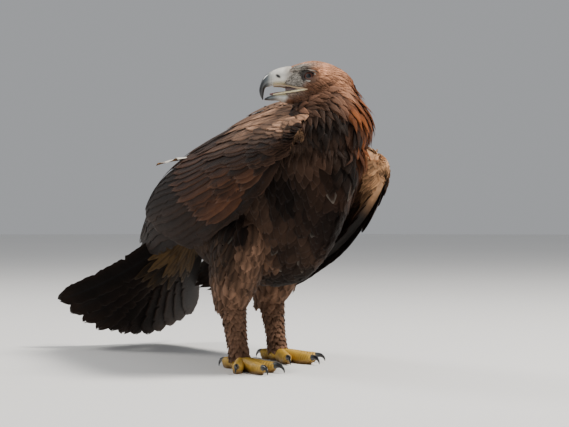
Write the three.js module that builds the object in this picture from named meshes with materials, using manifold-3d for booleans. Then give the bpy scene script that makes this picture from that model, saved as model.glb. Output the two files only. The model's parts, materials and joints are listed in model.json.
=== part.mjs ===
// A golden eagle at life size, standing still with its head turned over its right shoulder.
// Millimetres, +Z up. The breast faces -Y, so the bird's right side is -X, and it stands on z = 0.
// Flesh is lofted through a few named sections. Feathers are thin vanes laid in loops on smooth
// sheets, in tiers, and fused at their roots.
import * as THREE from "three";
import { mergeVertices } from "three/addons/utils/BufferGeometryUtils.js";
import Module from "manifold-3d";

const wasm = await Module();
wasm.setup();

// Driving sizes
const GAP = 0.35; // clearance between neighbouring smooth pieces
const WIDE_GAP = 0.8; // the same where a piece has sharp edges, since its corners move less
const CLEAR = 0.9; // how far the flesh is grown to cut what lies on it
const RIGHT = -1; // the side of the body as the sign of x
const LEFT = 1;
const EYE_HEIGHT = 400; // eye above the floor
const EYE_PLACE = [-20.6, -149.7]; // the point between the eyes, seen from above
const HEAD_TURN = 120; // degrees that the bill is turned to the bird's right
const TAIL_LENGTH = 298; // pygostyle to the tip of the central feather
const TAIL_ROOT = [0, 214, 222];
const VANE_THICK = 1.1;
const SLOPE_STEP = 0.01; // how far apart two points of a sheet are when its slope is measured

// Rows of numbers are stations of a smooth curve. The curve passes through each of them.
function through(rows) {
  const last = rows.length - 1;
  return (x) => {
    const at = THREE.MathUtils.clamp(x, 0, 1) * last;
    const i = Math.min(Math.floor(at), last - 1);
    const u = at - i;
    const before = (k) => (i > 0 ? rows[i - 1][k] : 2 * rows[0][k] - rows[1][k]);
    const after = (k) => (i + 2 <= last ? rows[i + 2][k] : 2 * rows[last][k] - rows[last - 1][k]);
    return rows[i].map((a, k) => {
      const b = rows[i + 1][k];
      const slopeA = (b - before(k)) / 2;
      const slopeB = (after(k) - a) / 2;
      const cubic = 2 * a - 2 * b + slopeA + slopeB;
      const square = -3 * a + 3 * b - 2 * slopeA - slopeB;
      return ((cubic * u + square) * u + slopeA) * u + a;
    });
  };
}

const vec = (x, y, z) => new THREE.Vector3(x, y, z);
const rad = THREE.MathUtils.degToRad;
const lerp = THREE.MathUtils.lerp;
const smooth = (x) => THREE.MathUtils.smoothstep(x, 0, 1);

// Geometry to solid and back
function indexed(points, faces) {
  const geometry = new THREE.BufferGeometry().setFromPoints(points);
  geometry.setIndex(faces);
  return geometry;
}

function solid(geometry) {
  const bare = new THREE.BufferGeometry();
  bare.setAttribute("position", geometry.getAttribute("position"));
  bare.setIndex(geometry.index);
  const merged = mergeVertices(bare, 1e-4);
  const triVerts = new Uint32Array(merged.index.array);
  const vertProperties = merged.getAttribute("position").array;
  const made = new wasm.Manifold(new wasm.Mesh({ numProp: 3, vertProperties, triVerts }));
  if (made.volume() >= 0) return made;
  for (let i = 0; i < triVerts.length; i += 3) {
    const first = triVerts[i];
    triVerts[i] = triVerts[i + 1];
    triVerts[i + 1] = first;
  }
  return new wasm.Manifold(new wasm.Mesh({ numProp: 3, vertProperties, triVerts }));
}

const union = (solids) => wasm.Manifold.union(solids);

// The same body with its skin moved out by the clearance
function swollen(body, by) {
  const mesh = body.getMesh();
  const points = [];
  for (let i = 0; i < mesh.numVert; i++) {
    points.push(vec(...mesh.vertProperties.subarray(i * mesh.numProp, i * mesh.numProp + 3)));
  }
  const geometry = indexed(points, [...mesh.triVerts]);
  geometry.computeVertexNormals();
  const normals = geometry.getAttribute("normal");
  points.forEach((p, i) => p.addScaledVector(vec().fromBufferAttribute(normals, i), by));
  return solid(indexed(points, [...mesh.triVerts]));
}

const SLIVER = 0.1; // edges that change the shape by less than this are dropped

// Only the largest closed surface is kept, which drops loose scraps and sealed hollows
function largest(body) {
  const parts = body.simplify(SLIVER).decompose().filter((part) => part.volume() > 0);
  return parts.reduce((a, b) => (a.volume() > b.volume() ? a : b));
}

function cutBy(body, others) {
  return others.reduce((rest, other) => rest.subtract(other), body);
}

// A closed skin over rings of equal length, with a fan over each end
function loft(rings) {
  const n = rings[0].length;
  const points = rings.flat();
  const faces = [];
  for (let i = 0; i + 1 < rings.length; i++) {
    for (let k = 0; k < n; k++) {
      const a = i * n + k;
      const b = i * n + ((k + 1) % n);
      faces.push(a, b, b + n, a, b + n, a + n);
    }
  }
  [rings[0], rings[rings.length - 1]].forEach((ring, end) => {
    const middle = ring.reduce((sum, p) => sum.add(p), vec(0, 0, 0)).divideScalar(n);
    const hub = points.push(middle) - 1;
    const base = end * (rings.length - 1) * n;
    for (let k = 0; k < n; k++) {
      const pair = [base + k, base + ((k + 1) % n)];
      faces.push(hub, ...(end ? pair : pair.reverse()));
    }
  });
  return solid(indexed(points, faces));
}

// Rings from a rule that gives a point for each share along and angle around
function loftOf(rule, along, around) {
  const rings = [];
  for (let i = 0; i <= along; i++) {
    const ring = [];
    for (let k = 0; k < around; k++) ring.push(rule(i / along, (k / around) * 2 * Math.PI));
    rings.push(ring);
  }
  return loft(rings);
}

// Feathers: a sheet is a rule from two shares (s, t) to a point, and a vane is laid along it
function frameOn(sheet, s, t, ds, dt) {
  const step = SLOPE_STEP;
  const here = sheet(s, t);
  const alongS = sheet(s + step, t).sub(sheet(s - step, t)).divideScalar(2 * step);
  const alongT = sheet(s, t + step).sub(sheet(s, t - step)).divideScalar(2 * step);
  const out = alongS.clone().cross(alongT).multiplyScalar(sheet.side ?? 1).normalize();
  const way = alongS.multiplyScalar(ds).addScaledVector(alongT, dt).normalize();
  const across = out.clone().cross(way).normalize();
  return { here, out, across };
}

// The step in s and t that moves one millimetre across a feather's way
function stepAcross(sheet, s, t, ds, dt) {
  const step = SLOPE_STEP;
  const alongS = sheet(s + step, t).sub(sheet(s - step, t)).divideScalar(2 * step);
  const alongT = sheet(s, t + step).sub(sheet(s, t - step)).divideScalar(2 * step);
  const { across } = frameOn(sheet, s, t, ds, dt);
  const [ss, st, tt] = [alongS.dot(alongS), alongS.dot(alongT), alongT.dot(alongT)];
  const [a, b] = [across.dot(alongS), across.dot(alongT)];
  const det = ss * tt - st * st;
  return [(a * tt - b * st) / det, (b * ss - a * st) / det];
}

// Half widths of a feather from root to tip, as shares of its greatest half width
const OUTLINES = {
  round: [0.35, 1, 0.86, 0.14],
  flight: [0.3, 0.88, 1, 0.74, 0.14],
  broad: [0.32, 0.8, 1, 0.98, 0.3],
  pointed: [0.6, 1, 0.1],
};

// One vane. Lift is its height over the sheet at root, middle and tip. Tilt raises one edge, so
// that neighbours in a row lie over each other like slates.
function vane(sheet, { root, tip, width, lift, tilt = 0, bend = 0, shape = "round", cupped }) {
  const edges = cupped ? [-1, 0, 1] : [-1, 1];
  const n = edges.length;
  const outline = OUTLINES[shape];
  const last = outline.length - 1;
  const rise = through(lift.map((h) => [h]));
  const top = [];
  const bottom = [];
  for (let i = 0; i <= last; i++) {
    const a = i / last;
    const bow = bend * 4 * a * (1 - a);
    const s = lerp(root[0], tip[0], a);
    const t = lerp(root[1], tip[1], a) + bow;
    const way = [tip[0] - root[0], tip[1] - root[1]];
    const [leanS, leanT] = stepAcross(sheet, s, t, ...way);
    for (const b of edges) {
      const reach = (b * width * outline[i]) / 2;
      const height = rise(a)[0] + tilt * b * outline[i];
      const { here, out } = frameOn(sheet, s + leanS * reach, t + leanT * reach, ...way);
      top.push(here.clone().addScaledVector(out, height + VANE_THICK / 2));
      bottom.push(here.addScaledVector(out, height - VANE_THICK / 2));
    }
  }
  const faces = [];
  const under = top.length;
  const quad = (p, q, r, o) => faces.push(p, q, r, p, r, o);
  for (let row = 0; row < n * last; row += n) {
    for (let k = row; k < row + n - 1; k++) {
      faces.push(k, k + 1, k + n + 1, k, k + n + 1, k + n);
      faces.push(under + k, under + k + n + 1, under + k + 1);
      faces.push(under + k, under + k + n, under + k + n + 1);
    }
    const right = row + n - 1;
    quad(under + row, row, row + n, under + row + n);
    quad(right, under + right, under + right + n, right + n);
  }
  for (let k = 0; k < n - 1; k++) {
    const end = n * last + k;
    quad(under + k, under + k + 1, k + 1, k);
    quad(end, end + 1, under + end + 1, under + end);
  }
  return solid(indexed([...top, ...bottom], faces));
}

// A slab along a sheet for s and t between bounds: its outer face is raised over the sheet, and
// its inner face lies at a depth below
function slab(sheet, raise, depth, [s0, s1], [t0, t1], rows, columns) {
  const outer = [];
  const inner = [];
  for (let i = 0; i <= rows; i++) {
    for (let k = 0; k <= columns; k++) {
      const s = lerp(s0, s1, i / rows);
      const t = lerp(t0, t1, k / columns);
      const { here, out } = frameOn(sheet, s, t, 1, 0);
      outer.push(here.clone().addScaledVector(out, raise(i / rows)));
      inner.push(here.clone().addScaledVector(out, -depth(i / rows, k / columns)));
    }
  }
  const n = columns + 1;
  const under = outer.length;
  const faces = [];
  const quad = (p, q, r, o) => faces.push(p, q, r, p, r, o);
  for (let i = 0; i < rows; i++) {
    for (let k = 0; k < columns; k++) {
      const [p, q, r, o] = [i * n + k, i * n + k + 1, (i + 1) * n + k + 1, (i + 1) * n + k];
      quad(p, q, r, o);
      faces.push(under + p, under + r, under + q, under + p, under + o, under + r);
    }
    quad(under + i * n, i * n, (i + 1) * n, under + (i + 1) * n);
    const edge = i * n + columns;
    quad(edge, under + edge, under + edge + n, edge + n);
  }
  const end = rows * n;
  for (let k = 0; k < columns; k++) {
    quad(under + k, under + k + 1, k + 1, k);
    quad(end + k, end + k + 1, under + end + k + 1, under + end + k);
  }
  return solid(indexed([...outer, ...inner], faces));
}

// Seeded draw, so that each run gives the same feathers
function draws(seed) {
  let state = seed;
  return (low, high) => {
    state = (state * 1664525 + 1013904223) % 4294967296;
    return lerp(low, high, state / 4294967296);
  };
}

// Torso: sections across the body from breast to rump, as y, top, bottom, widest level, half
// width, and how far the lower half narrows to a keel (0 round, 1 straight sides)
const TORSO = through([
  [-213, 300, 262, 280, 8, 0],
  [-204, 322, 225, 282, 36, 0.7],
  [-182, 338, 186, 284, 54, 0.8],
  [-142, 350, 150, 284, 74, 0.65],
  [-85, 350, 122, 268, 92, 0.5],
  [-20, 340, 113, 244, 94, 0.15],
  [50, 320, 116, 222, 88, 0],
  [115, 295, 130, 214, 74, 0],
  [170, 268, 154, 213, 54, 0],
  [212, 246, 180, 215, 38, 0],
  [240, 232, 196, 214, 22, 0],
]);

function torsoPoint(share, angle, grow = 0) {
  const [y, top, bottom, level, half, keel] = TORSO(share);
  const up = Math.sin(angle);
  const side = Math.cos(angle);
  const straight = Math.sign(side) * (1 - Math.abs(up));
  const across = up > 0 ? side : lerp(side, straight, keel);
  const reach = up > 0 ? top - level : level - bottom;
  const ends = grow * (2 * share - 1);
  return vec(across * half + side * grow, y + ends, level + up * (reach + grow));
}

// Neck: level sections from the breast up into the head, as z, x, y, half length, half width
const NECK = through([
  [282, -4, -150, 50, 46],
  [312, -8, -156, 66, 56],
  [338, -3, -160, 64, 54],
  [362, 2, -163, 48, 46],
  [384, 4, -164, 33, 36],
  [404, 0, -160, 20, 24],
]);

// Directions of the turned head: forward along the bill, to its own left, and up
const FORWARD = vec(0, -1, 0).applyAxisAngle(vec(0, 0, 1), rad(-HEAD_TURN));
const SIDEWAYS = vec(0, 0, 1).cross(FORWARD);

function neckPoint(share, angle, grow = 0) {
  const [z, x, y, long, wide] = NECK(share);
  return vec(x, y, z)
    .addScaledVector(FORWARD, Math.cos(angle) * (long + grow))
    .addScaledVector(SIDEWAYS, Math.sin(angle) * (wide + grow));
}

// A point of the head from its own frame: forward, left and up from between the eyes
function headPoint(forward, left, up) {
  return vec(EYE_PLACE[0], EYE_PLACE[1], EYE_HEIGHT + up)
    .addScaledVector(FORWARD, forward)
    .addScaledVector(SIDEWAYS, left);
}

// Skull with its feathers: forward, top, bottom, widest level, half width
const SKULL = through([
  [-58, -6, -20, -12, 5],
  [-51, 3, -34, -12, 19],
  [-40, 11, -44, -12, 28],
  [-24, 19, -48, -12, 34],
  [-6, 23, -46, -11, 35],
  [10, 20.5, -42, -12, 31],
  [23, 16.5, -37, -13, 23.5],
  [32, 13.5, -33, -13, 17],
]);

function skull(grow = 0) {
  const rule = (share, angle) => {
    const [forward, top, bottom, level, half] = SKULL(share);
    const up = Math.sin(angle);
    const reach = up > 0 ? top - level : level - bottom;
    return headPoint(forward, Math.cos(angle) * (half + grow), level + up * (reach + grow));
  };
  return loftOf(rule, 10, 14);
}

// Brow: the bony shelf over each eye
function brow(side) {
  const line = through([
    [25, 14.5, 8.5, 1.5],
    [14, 25, 11.5, 3],
    [2, 30.5, 12, 3.4],
    [-8, 32.5, 9, 2.6],
    [-15, 32, 5, 1],
  ]);
  const rule = (share, angle) => {
    const [forward, left, up, size] = line(share);
    const out = Math.cos(angle) * size * 1.3;
    return headPoint(forward, side * (left + out), up + Math.sin(angle) * size);
  };
  return loftOf(rule, 5, 5);
}

const EYE_AT = [0, 21, 0]; // centre of the eyeball in the head's frame, left eye
const EYE_RADIUS = 11.5;

function ball(centre, radius, squash = [1, 1, 1], detail = 11) {
  const geometry = new THREE.SphereGeometry(radius, detail, detail * 0.6); // fewer rings than sides
  geometry.scale(...squash);
  geometry.translate(centre.x, centre.y, centre.z);
  geometry.deleteAttribute("normal");
  geometry.deleteAttribute("uv");
  return solid(mergeVertices(geometry, 1e-3));
}

const eyeCentre = (side) => headPoint(EYE_AT[0], side * EYE_AT[1], EYE_AT[2]);

// Lids: a ring round the visible part of the eyeball
function lids(side) {
  const ringRadius = 8.4;
  const ringDepth = 9.2; // from the centre of the eyeball out to the ring
  const thickness = 1.9;
  const rule = (share, angle) => {
    const turn = share * 2 * Math.PI;
    const reach = ringRadius + Math.cos(angle) * thickness;
    const up = Math.sin(turn) * reach * 0.9;
    const out = EYE_AT[1] + ringDepth + Math.sin(angle) * thickness;
    return headPoint(EYE_AT[0] + Math.cos(turn) * reach, side * out, EYE_AT[2] + up);
  };
  const rings = [];
  const turns = 12;
  const n = 4;
  for (let i = 0; i < turns; i++) {
    for (let k = 0; k < n; k++) rings.push(rule(i / turns, (k / n) * 2 * Math.PI));
  }
  const faces = [];
  for (let i = 0; i < turns; i++) {
    const next = ((i + 1) % turns) * n;
    for (let k = 0; k < n; k++) {
      const [a, b] = [i * n + k, i * n + ((k + 1) % n)];
      const [c, d] = [next + ((k + 1) % n), next + k];
      faces.push(a, b, c, a, c, d);
    }
  }
  return solid(indexed(rings, faces));
}

// Bill: sections between an upper and a lower line, as forward, up of each, and half width
const UPPER_BILL = through([
  [50, 8, 50, -11.5, 11],
  [56, 4.8, 54, -12.8, 9.5],
  [61.5, -1.3, 57.5, -13.6, 7.8],
  [65.3, -9.4, 59.4, -16.2, 5.8],
  [66.9, -17.4, 60.4, -20.5, 4.2],
  [65.6, -25, 61.2, -26, 2.7],
  [62.6, -30.6, 61.4, -30.2, 0.8],
]);
const CERE = through([
  [27, 15, 27, -13, 18.5],
  [34, 13.4, 34, -11.8, 16],
  [42, 11.4, 42, -11, 13.2],
  [49.6, 8.2, 49.6, -11.4, 11.1],
]);
const LOWER_BILL = through([
  [24, -20, 24, -38, 18],
  [33, -21, 33, -34.5, 13.5],
  [42, -22.4, 42, -31.6, 11],
  [51, -24.4, 51, -31.4, 8.2],
  [58, -27.6, 58, -31, 4.2],
  [60, -29, 60, -30.6, 1.6],
]);
const TONGUE = through([
  [18, -17.5, 18, -21.5, 6],
  [34, -19, 34, -23.5, 5.5],
  [46, -20.5, 46, -23.8, 4],
  [53, -22, 53, -24, 1.5],
]);

function billLoft(line, along, around) {
  const rule = (share, angle) => {
    const [topAt, top, bottomAt, bottom, half] = line(share);
    const up = (Math.sin(angle) + 1) / 2;
    const forward = lerp(bottomAt, topAt, up);
    return headPoint(forward, Math.cos(angle) * half, lerp(bottom, top, up));
  };
  return loftOf(rule, along, around);
}

// The open mouth: a wedge from the corner of the gape forward
function gape() {
  const width = 80; // wider than the head
  const shape = new THREE.Shape();
  shape.moveTo(5, -17.6);
  shape.lineTo(26, -13.2);
  shape.lineTo(50, -11.6);
  shape.lineTo(75, -14);
  shape.lineTo(75, -26);
  shape.lineTo(50, -23.4);
  shape.lineTo(26, -19.6);
  const geometry = new THREE.ExtrudeGeometry(shape, { depth: width, bevelEnabled: false });
  const points = geometry.getAttribute("position");
  for (let i = 0; i < points.count; i++) {
    const p = headPoint(points.getX(i), points.getZ(i) - width / 2, points.getY(i));
    points.setXYZ(i, p.x, p.y, p.z);
  }
  geometry.deleteAttribute("normal");
  geometry.deleteAttribute("uv");
  return solid(mergeVertices(geometry, 1e-3));
}

// Wing: three lines from wrist to tip, each a row of outward, y and up
const WING_TOP = through([
  [66, -206, 332],
  [62, -188, 346],
  [46, -130, 358],
  [34, -40, 356],
  [28, 70, 338],
  [28, 190, 306],
  [24, 310, 256],
  [8, 408, 172],
]);
const WING_SIDE = through([
  [80, -214, 316],
  [97, -194, 308],
  [109, -135, 291],
  [114, -45, 272],
  [110, 65, 250],
  [92, 188, 236],
  [56, 302, 198],
  [16, 410, 162],
]);
const WING_EDGE = through([
  [84, -206, 298],
  [96, -188, 276],
  [103, -135, 238],
  [106, -45, 200],
  [98, 60, 180],
  [80, 175, 164],
  [52, 282, 154],
  [22, 404, 152],
]);

// The left wing hangs lower, and away from the body at its tip: how far outward and how far down
const LEFT_WING = through([
  [-20, 38],
  [-31, 40],
  [-34, 42],
  [-28, 47],
  [-14, 58],
  [4, 68],
  [24, 76],
  [54, 82],
]);

function wingSheet(side) {
  const sheet = (s, t) => {
    const weights = [2 * t * t - 3 * t + 1, 4 * t - 4 * t * t, 2 * t * t - t];
    const lines = [WING_TOP(s), WING_SIDE(s), WING_EDGE(s)];
    const [out, y, z] = [0, 1, 2].map((k) => {
      return lines.reduce((sum, line, i) => sum + weights[i] * line[k], 0);
    });
    if (side === RIGHT) return vec(-out, y, z);
    const [outward, lower] = LEFT_WING(s);
    return vec(out + outward * lerp(0.7, 1, t), y, z - lower * lerp(0.8, 1, t));
  };
  sheet.side = -side;
  return sheet;
}

// Each tier is a row of vanes between two lines on the sheet, from its lowest feather to its
// highest. A tier's tips lie over the middle of the next tier back.
const WING_TIERS = {
  primaries: {
    count: 4, shape: "flight", width: 22, bend: 0.03,
    root: [[0.48, 0.84], [0.54, 0.6]], tip: [[0.89, 0.95], [0.985, 0.4]],
    lift: [-7, -2.4, -1.2],
  },
  secondaries: {
    count: 7, shape: "flight", width: 36, bend: 0.04,
    root: [[0.36, 0.84], [0.46, 0.17]], tip: [[0.62, 1.0], [0.88, 0.19]],
    lift: [-6, 1.4, 3.4],
  },
  primary_coverts: {
    count: 2, shape: "round", width: 21, bend: 0,
    root: [[0.2, 0.88], [0.26, 0.86]], tip: [[0.4, 1.0], [0.5, 0.99]],
    lift: [-4, 1.6, 2.6],
  },
  greater_coverts: {
    count: 6, shape: "round", width: 38, bend: 0.03,
    root: [[0.27, 0.72], [0.4, 0.16]], tip: [[0.45, 0.9], [0.68, 0.17]],
    lift: [-6, 2, 4.8],
  },
  median_coverts: {
    count: 5, shape: "round", width: 40, bend: 0.02,
    root: [[0.19, 0.64], [0.29, 0.16]], tip: [[0.36, 0.8], [0.52, 0.16]],
    lift: [-3, 3, 6],
  },
};
const SLATE = 2.2; // how much the lower edge of a wing feather is raised
const ARM_REACH = 0.64; // the arm's share of the wing's length
const ARM_EDGE = 7; // thickness of the arm at its edges
const ARM_SWELL = 20; // how much deeper it is at the forearm

function wing(side, seed) {
  const sheet = wingSheet(side);
  const draw = draws(seed);
  // The arm and hand under the coverts, deepest at the forearm
  const depth = (a, b) => {
    const rows = Math.sin(Math.PI * (0.12 + a * 0.84)) ** 0.7;
    const across = Math.sin(Math.PI * lerp(0.12, 0.92, b)) ** 0.6;
    return ARM_EDGE + ARM_SWELL * rows * across;
  };
  // The skin of the shoulder is smooth, and sinks under the rows of feathers behind it
  const skin = (a) => lerp(2.5, -3, smooth((a - 0.3) / 0.25));
  const arm = slab(sheet, skin, depth, [0, ARM_REACH], [0, 0.98], 9, 5);
  const feathers = Object.values(WING_TIERS).flatMap((tier) => {
    return Array.from({ length: tier.count }, (_, i) => {
      const share = i / (tier.count - 1);
      const at = (ends, k) => lerp(ends[0][k], ends[1][k], share);
      const stray = draw(-0.012, 0.012);
      return vane(sheet, {
        ...tier,
        root: [at(tier.root, 0), at(tier.root, 1)],
        tip: [at(tier.tip, 0) + stray, at(tier.tip, 1)],
        width: tier.width * draw(0.95, 1.05),
        tilt: -side * SLATE,
        cupped: true,
      });
    });
  });
  return union([arm, ...feathers, ...scapulars(sheet, draw)]);
}

// Scapulars: large feathers from the shoulder that lie back over the top edge of the wing
function scapulars(sheet, draw) {
  const count = 4;
  return Array.from({ length: count }, (_, i) => {
    const s = lerp(0.14, 0.5, i / (count - 1));
    return vane(sheet, {
      root: [s, 0.02],
      tip: [s + draw(0.26, 0.29), 0.13],
      width: 36,
      lift: [-4, 5, 8.5],
      cupped: true,
    });
  });
}

// Directions of the outermost right feather, the middle of the tail and the outermost left one
const TAIL_RAYS = [
  [-139, 207, -134],
  [-22, 209, -199],
  [90, 218, -159],
];

const TAIL_STEP = 1.35; // from one tail feather down to the next
const STUMP_RADIUS = 26; // the fleshy root that holds the tail feathers

// Tail: twelve feathers fanned on a sheet that slopes back and down from the rump
function tailSheet(s, t) {
  const weights = [(t * t - t) / 2, 1 - t * t, (t * t + t) / 2];
  const way = vec(0, 0, 0);
  TAIL_RAYS.forEach((ray, i) => way.addScaledVector(vec(...ray).normalize(), weights[i]));
  return vec(...TAIL_ROOT).addScaledVector(way.normalize(), TAIL_LENGTH * s);
}
tailSheet.side = -1;

function tail() {
  const draw = draws(31);
  const pairs = 6;
  const feathers = [];
  for (let i = 0; i < pairs; i++) {
    for (const side of [RIGHT, LEFT]) {
      const t = (side * (i + 0.5)) / (pairs - 0.5);
      // Only the middle pairs cross each other, so they lie at levels of their own
      const level = i < 2 ? 2 * i + (side === LEFT ? 1 : 0) : i + 2;
      const lift = -TAIL_STEP * level;
      feathers.push(
        vane(tailSheet, {
          root: [0.06, t * 0.6],
          tip: [draw(0.965, 1) - 0.006 * i, t],
          width: 38,
          lift: [lift, lift, lift],
          shape: "broad",
        }),
      );
    }
  }
  const coverts = (count, reach, lift, width, spread) =>
    Array.from({ length: count }, (_, i) => {
      const t = ((2 * i) / (count - 1) - 1) * spread;
      return vane(tailSheet, {
        root: [0.03, t * 0.4],
        tip: [reach * draw(0.92, 1.05), t],
        width,
        lift: lift.map((h) => h + (i % 2) * TAIL_STEP * Math.sign(h)),
      });
    });
  const above = coverts(3, 0.38, [1, 4, 2.6], 36, 0.5);
  const below = coverts(3, 0.48, [-12, -15, -13.5], 36, 0.66);
  const stumpAt = frameOn(tailSheet, 0.08, 0, 1, 0);
  const stumpCentre = stumpAt.here.addScaledVector(stumpAt.out, -6);
  const stump = ball(stumpCentre, STUMP_RADIUS, [1, 1, 0.8], 9);
  return union([stump, ...feathers, ...above, ...below]);
}

// Legs: the thigh under its long feathers, then the feathered shank, then the bare toes
const LEGS = {
  right: { side: RIGHT, knee: [-60, -34, 190], hock: [-62, -2, 92], ball: [-62, -34, 17], turn: -4 },
  left: { side: LEFT, knee: [58, 40, 186], hock: [54, 92, 92], ball: [52, 58, 17], turn: 6 },
};
// Half sizes of the thigh from its root to the hem: along the bird and across it
const THIGH = through([
  [26, 16],
  [46, 30],
  [52, 34],
  [50, 33],
  [44, 29],
  [33, 22],
  [16, 12],
]);
const THIGH_TOP = 34; // how far the thigh reaches up past the knee point
const THIGH_HEM = -8; // how far the hem hangs below the hock

function thighSheet(leg) {
  const { knee, hock } = LEGS[leg];
  const sheet = (s, t) => {
    const z = lerp(knee[2] + THIGH_TOP, hock[2] + THIGH_HEM, s);
    const share = (knee[2] - z) / (knee[2] - hock[2]);
    const [long, wide] = THIGH(s);
    const angle = 2 * Math.PI * t;
    const x = lerp(knee[0], hock[0], share) + Math.sin(angle) * wide;
    return vec(x, lerp(knee[1], hock[1], share) - Math.cos(angle) * long, z);
  };
  sheet.side = 1;
  return sheet;
}

function thigh(leg, seed) {
  const sheet = thighSheet(leg);
  const draw = draws(seed);
  const core = loftOf((share, angle) => sheet(share, angle / (2 * Math.PI)), 7, 12);
  const rows = [
    { s: 0.38, reach: 0.36, count: 6, out: 4.5 },
    { s: 0.62, reach: 0.38, count: 6, out: 4.5 },
  ];
  const locks = rows.flatMap(({ s, reach, count, out }, row) => {
    return Array.from({ length: count }, (_, i) => {
      const t = (i + 0.5 * (row % 2) + draw(-0.12, 0.12)) / count;
      return vane(sheet, {
        root: [s, t],
        tip: [Math.min(1.06, s + reach * draw(0.85, 1.1)), t + draw(-0.01, 0.01)],
        width: 21,
        lift: [-4, 1.8, out],
        shape: "pointed",
      });
    });
  });
  return union([core, ...locks]);
}

function shank(leg) {
  const { hock, ball: foot } = LEGS[leg];
  const sizes = through([
    [15, 13],
    [15.5, 13],
    [13, 11.5],
    [12, 11],
    [13.5, 12.5],
  ]);
  const rule = (share, angle) => {
    const [long, wide] = sizes(share);
    const z = lerp(hock[2] + 12, foot[2] + 5, share);
    const y = lerp(hock[1] - 2, foot[1] + 4, share);
    const x = lerp(hock[0], foot[0], share);
    return vec(x + Math.cos(angle) * wide, y + Math.sin(angle) * long, z);
  };
  return loftOf(rule, 4, 12);
}

// Toes: heading from straight ahead towards the outside, length, half width
const TOES = {
  inner: { heading: -24, length: 62, half: 8.2, claw: 32 },
  middle: { heading: 2, length: 78, half: 8, claw: 30 },
  outer: { heading: 30, length: 60, half: 7.4, claw: 26 },
  hind: { heading: 176, length: 46, half: 8.6, claw: 36 },
};

function toeFrame(leg, toe) {
  const { side, ball: foot, turn } = LEGS[leg];
  const heading = rad(TOES[toe].heading * side + turn);
  return { from: vec(...foot), way: vec(Math.sin(heading), -Math.cos(heading), 0) };
}

// A toe lies on the floor on two pads, with a joint raised between them
function toe(leg, name) {
  const { length, half } = TOES[name];
  const { from, way } = toeFrame(leg, name);
  const across = way.clone().cross(vec(0, 0, 1));
  const line = through([
    [0, 1, 17, 0.95],
    [0.25, -4, 17.5, 1],
    [0.45, 0.5, 16.5, 0.9],
    [0.62, -4, 15.5, 1],
    [0.82, -3.5, 14.5, 0.88],
    [1, 1.5, 13.5, 0.72],
  ]);
  const rule = (share, angle) => {
    const [reach, bottom, top, girth] = line(share);
    const up = (Math.sin(angle) + 1) / 2;
    const z = Math.max(0, lerp(bottom, top, up));
    const spot = from.clone().setZ(0).addScaledVector(way, reach * length);
    return spot.addScaledVector(across, Math.cos(angle) * half * girth).setZ(z);
  };
  return loftOf(rule, 7, 8);
}

// Scutes: raised plates across the top of each toe towards the claw
function scutes(leg, name) {
  const { length, half } = TOES[name];
  const { from, way } = toeFrame(leg, name);
  const count = 2;
  return Array.from({ length: count }, (_, i) => {
    const at = from.clone().addScaledVector(way, length * (0.64 + 0.12 * i));
    const geometry = new THREE.CylinderGeometry(half * 0.78, half * 0.86, 3.6, 6);
    geometry.rotateX(Math.PI / 2);
    geometry.scale(1, 1, 0.7);
    const turn = Math.atan2(way.x, -way.y);
    geometry.rotateZ(turn);
    geometry.translate(at.x, at.y, 14 - 1.1 * i - half * 0.36);
    geometry.deleteAttribute("normal");
    geometry.deleteAttribute("uv");
    return solid(mergeVertices(geometry, 1e-3));
  });
}

const CLAW_DROP = 0.36; // how far a claw turns down, as a share of its radius
const CLAW_BEND = 1.5; // radians from root to point
const CLAW_HEIGHT = 8.6; // its root above the floor
const CLAW_ARCH = 3; // how high it arches on the way
const CLAW_GIRTH = [5.2, 0.5]; // half thickness at root and point

// A claw curves forward and down from the end of its toe to a point just above the floor
function claw(leg, name) {
  const { length, claw: size } = TOES[name];
  const { from, way } = toeFrame(leg, name);
  const across = way.clone().cross(vec(0, 0, 1));
  const start = from.clone().setZ(CLAW_HEIGHT).addScaledVector(way, length - 1);
  const rule = (share, angle) => {
    const bend = share * CLAW_BEND;
    const radius = size * 0.6;
    const arch = CLAW_ARCH * Math.sin(share * Math.PI);
    const rise = (Math.cos(bend) - 1) * radius * CLAW_DROP + arch;
    const centre = start.clone().addScaledVector(way, Math.sin(bend) * radius).add(vec(0, 0, rise));
    const girth = lerp(...CLAW_GIRTH, share ** 0.8);
    const outward = way.clone().multiplyScalar(Math.sin(bend)).add(vec(0, 0, Math.cos(bend)));
    return centre
      .addScaledVector(outward, Math.sin(angle) * girth)
      .addScaledVector(across, Math.cos(angle) * girth * 0.78);
  };
  return loftOf(rule, 5, 6);
}

// Hackles: pointed feathers in rows down the nape and the sides of the neck
function neckSheet(s, t) {
  return neckPoint(lerp(1, 0, s), Math.PI + 2 * Math.PI * t);
}
neckSheet.side = 1;

function hackles() {
  const draw = draws(7);
  const rows = 4;
  const made = [];
  for (let row = 0; row < rows; row++) {
    const s = lerp(0.12, 0.62, row / (rows - 1));
    const count = row < 1 ? 4 : 6;
    const spread = row < 1 ? 0.2 : 0.27;
    for (let i = 0; i < count; i++) {
      const t = ((i + 0.5 * (row % 2)) / (count - 0.5) - 0.5) * 2 * spread;
      made.push(
        vane(neckSheet, {
          root: [s, t],
          tip: [s + draw(0.24, 0.3), t + draw(-0.02, 0.02)],
          width: 17,
          lift: [-3, 2.2, draw(5, 7)],
          shape: "pointed",
        }),
      );
    }
  }
  return made;
}

// One whitish feather stands out of place on the back, at the edge of the right wing
function strayFeather(sheet) {
  return vane(sheet, {
    root: [0.66, 0.16],
    tip: [0.78, 0.16],
    width: 14,
    lift: [-4, 10, 30],
    shape: "pointed",
  });
}

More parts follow.
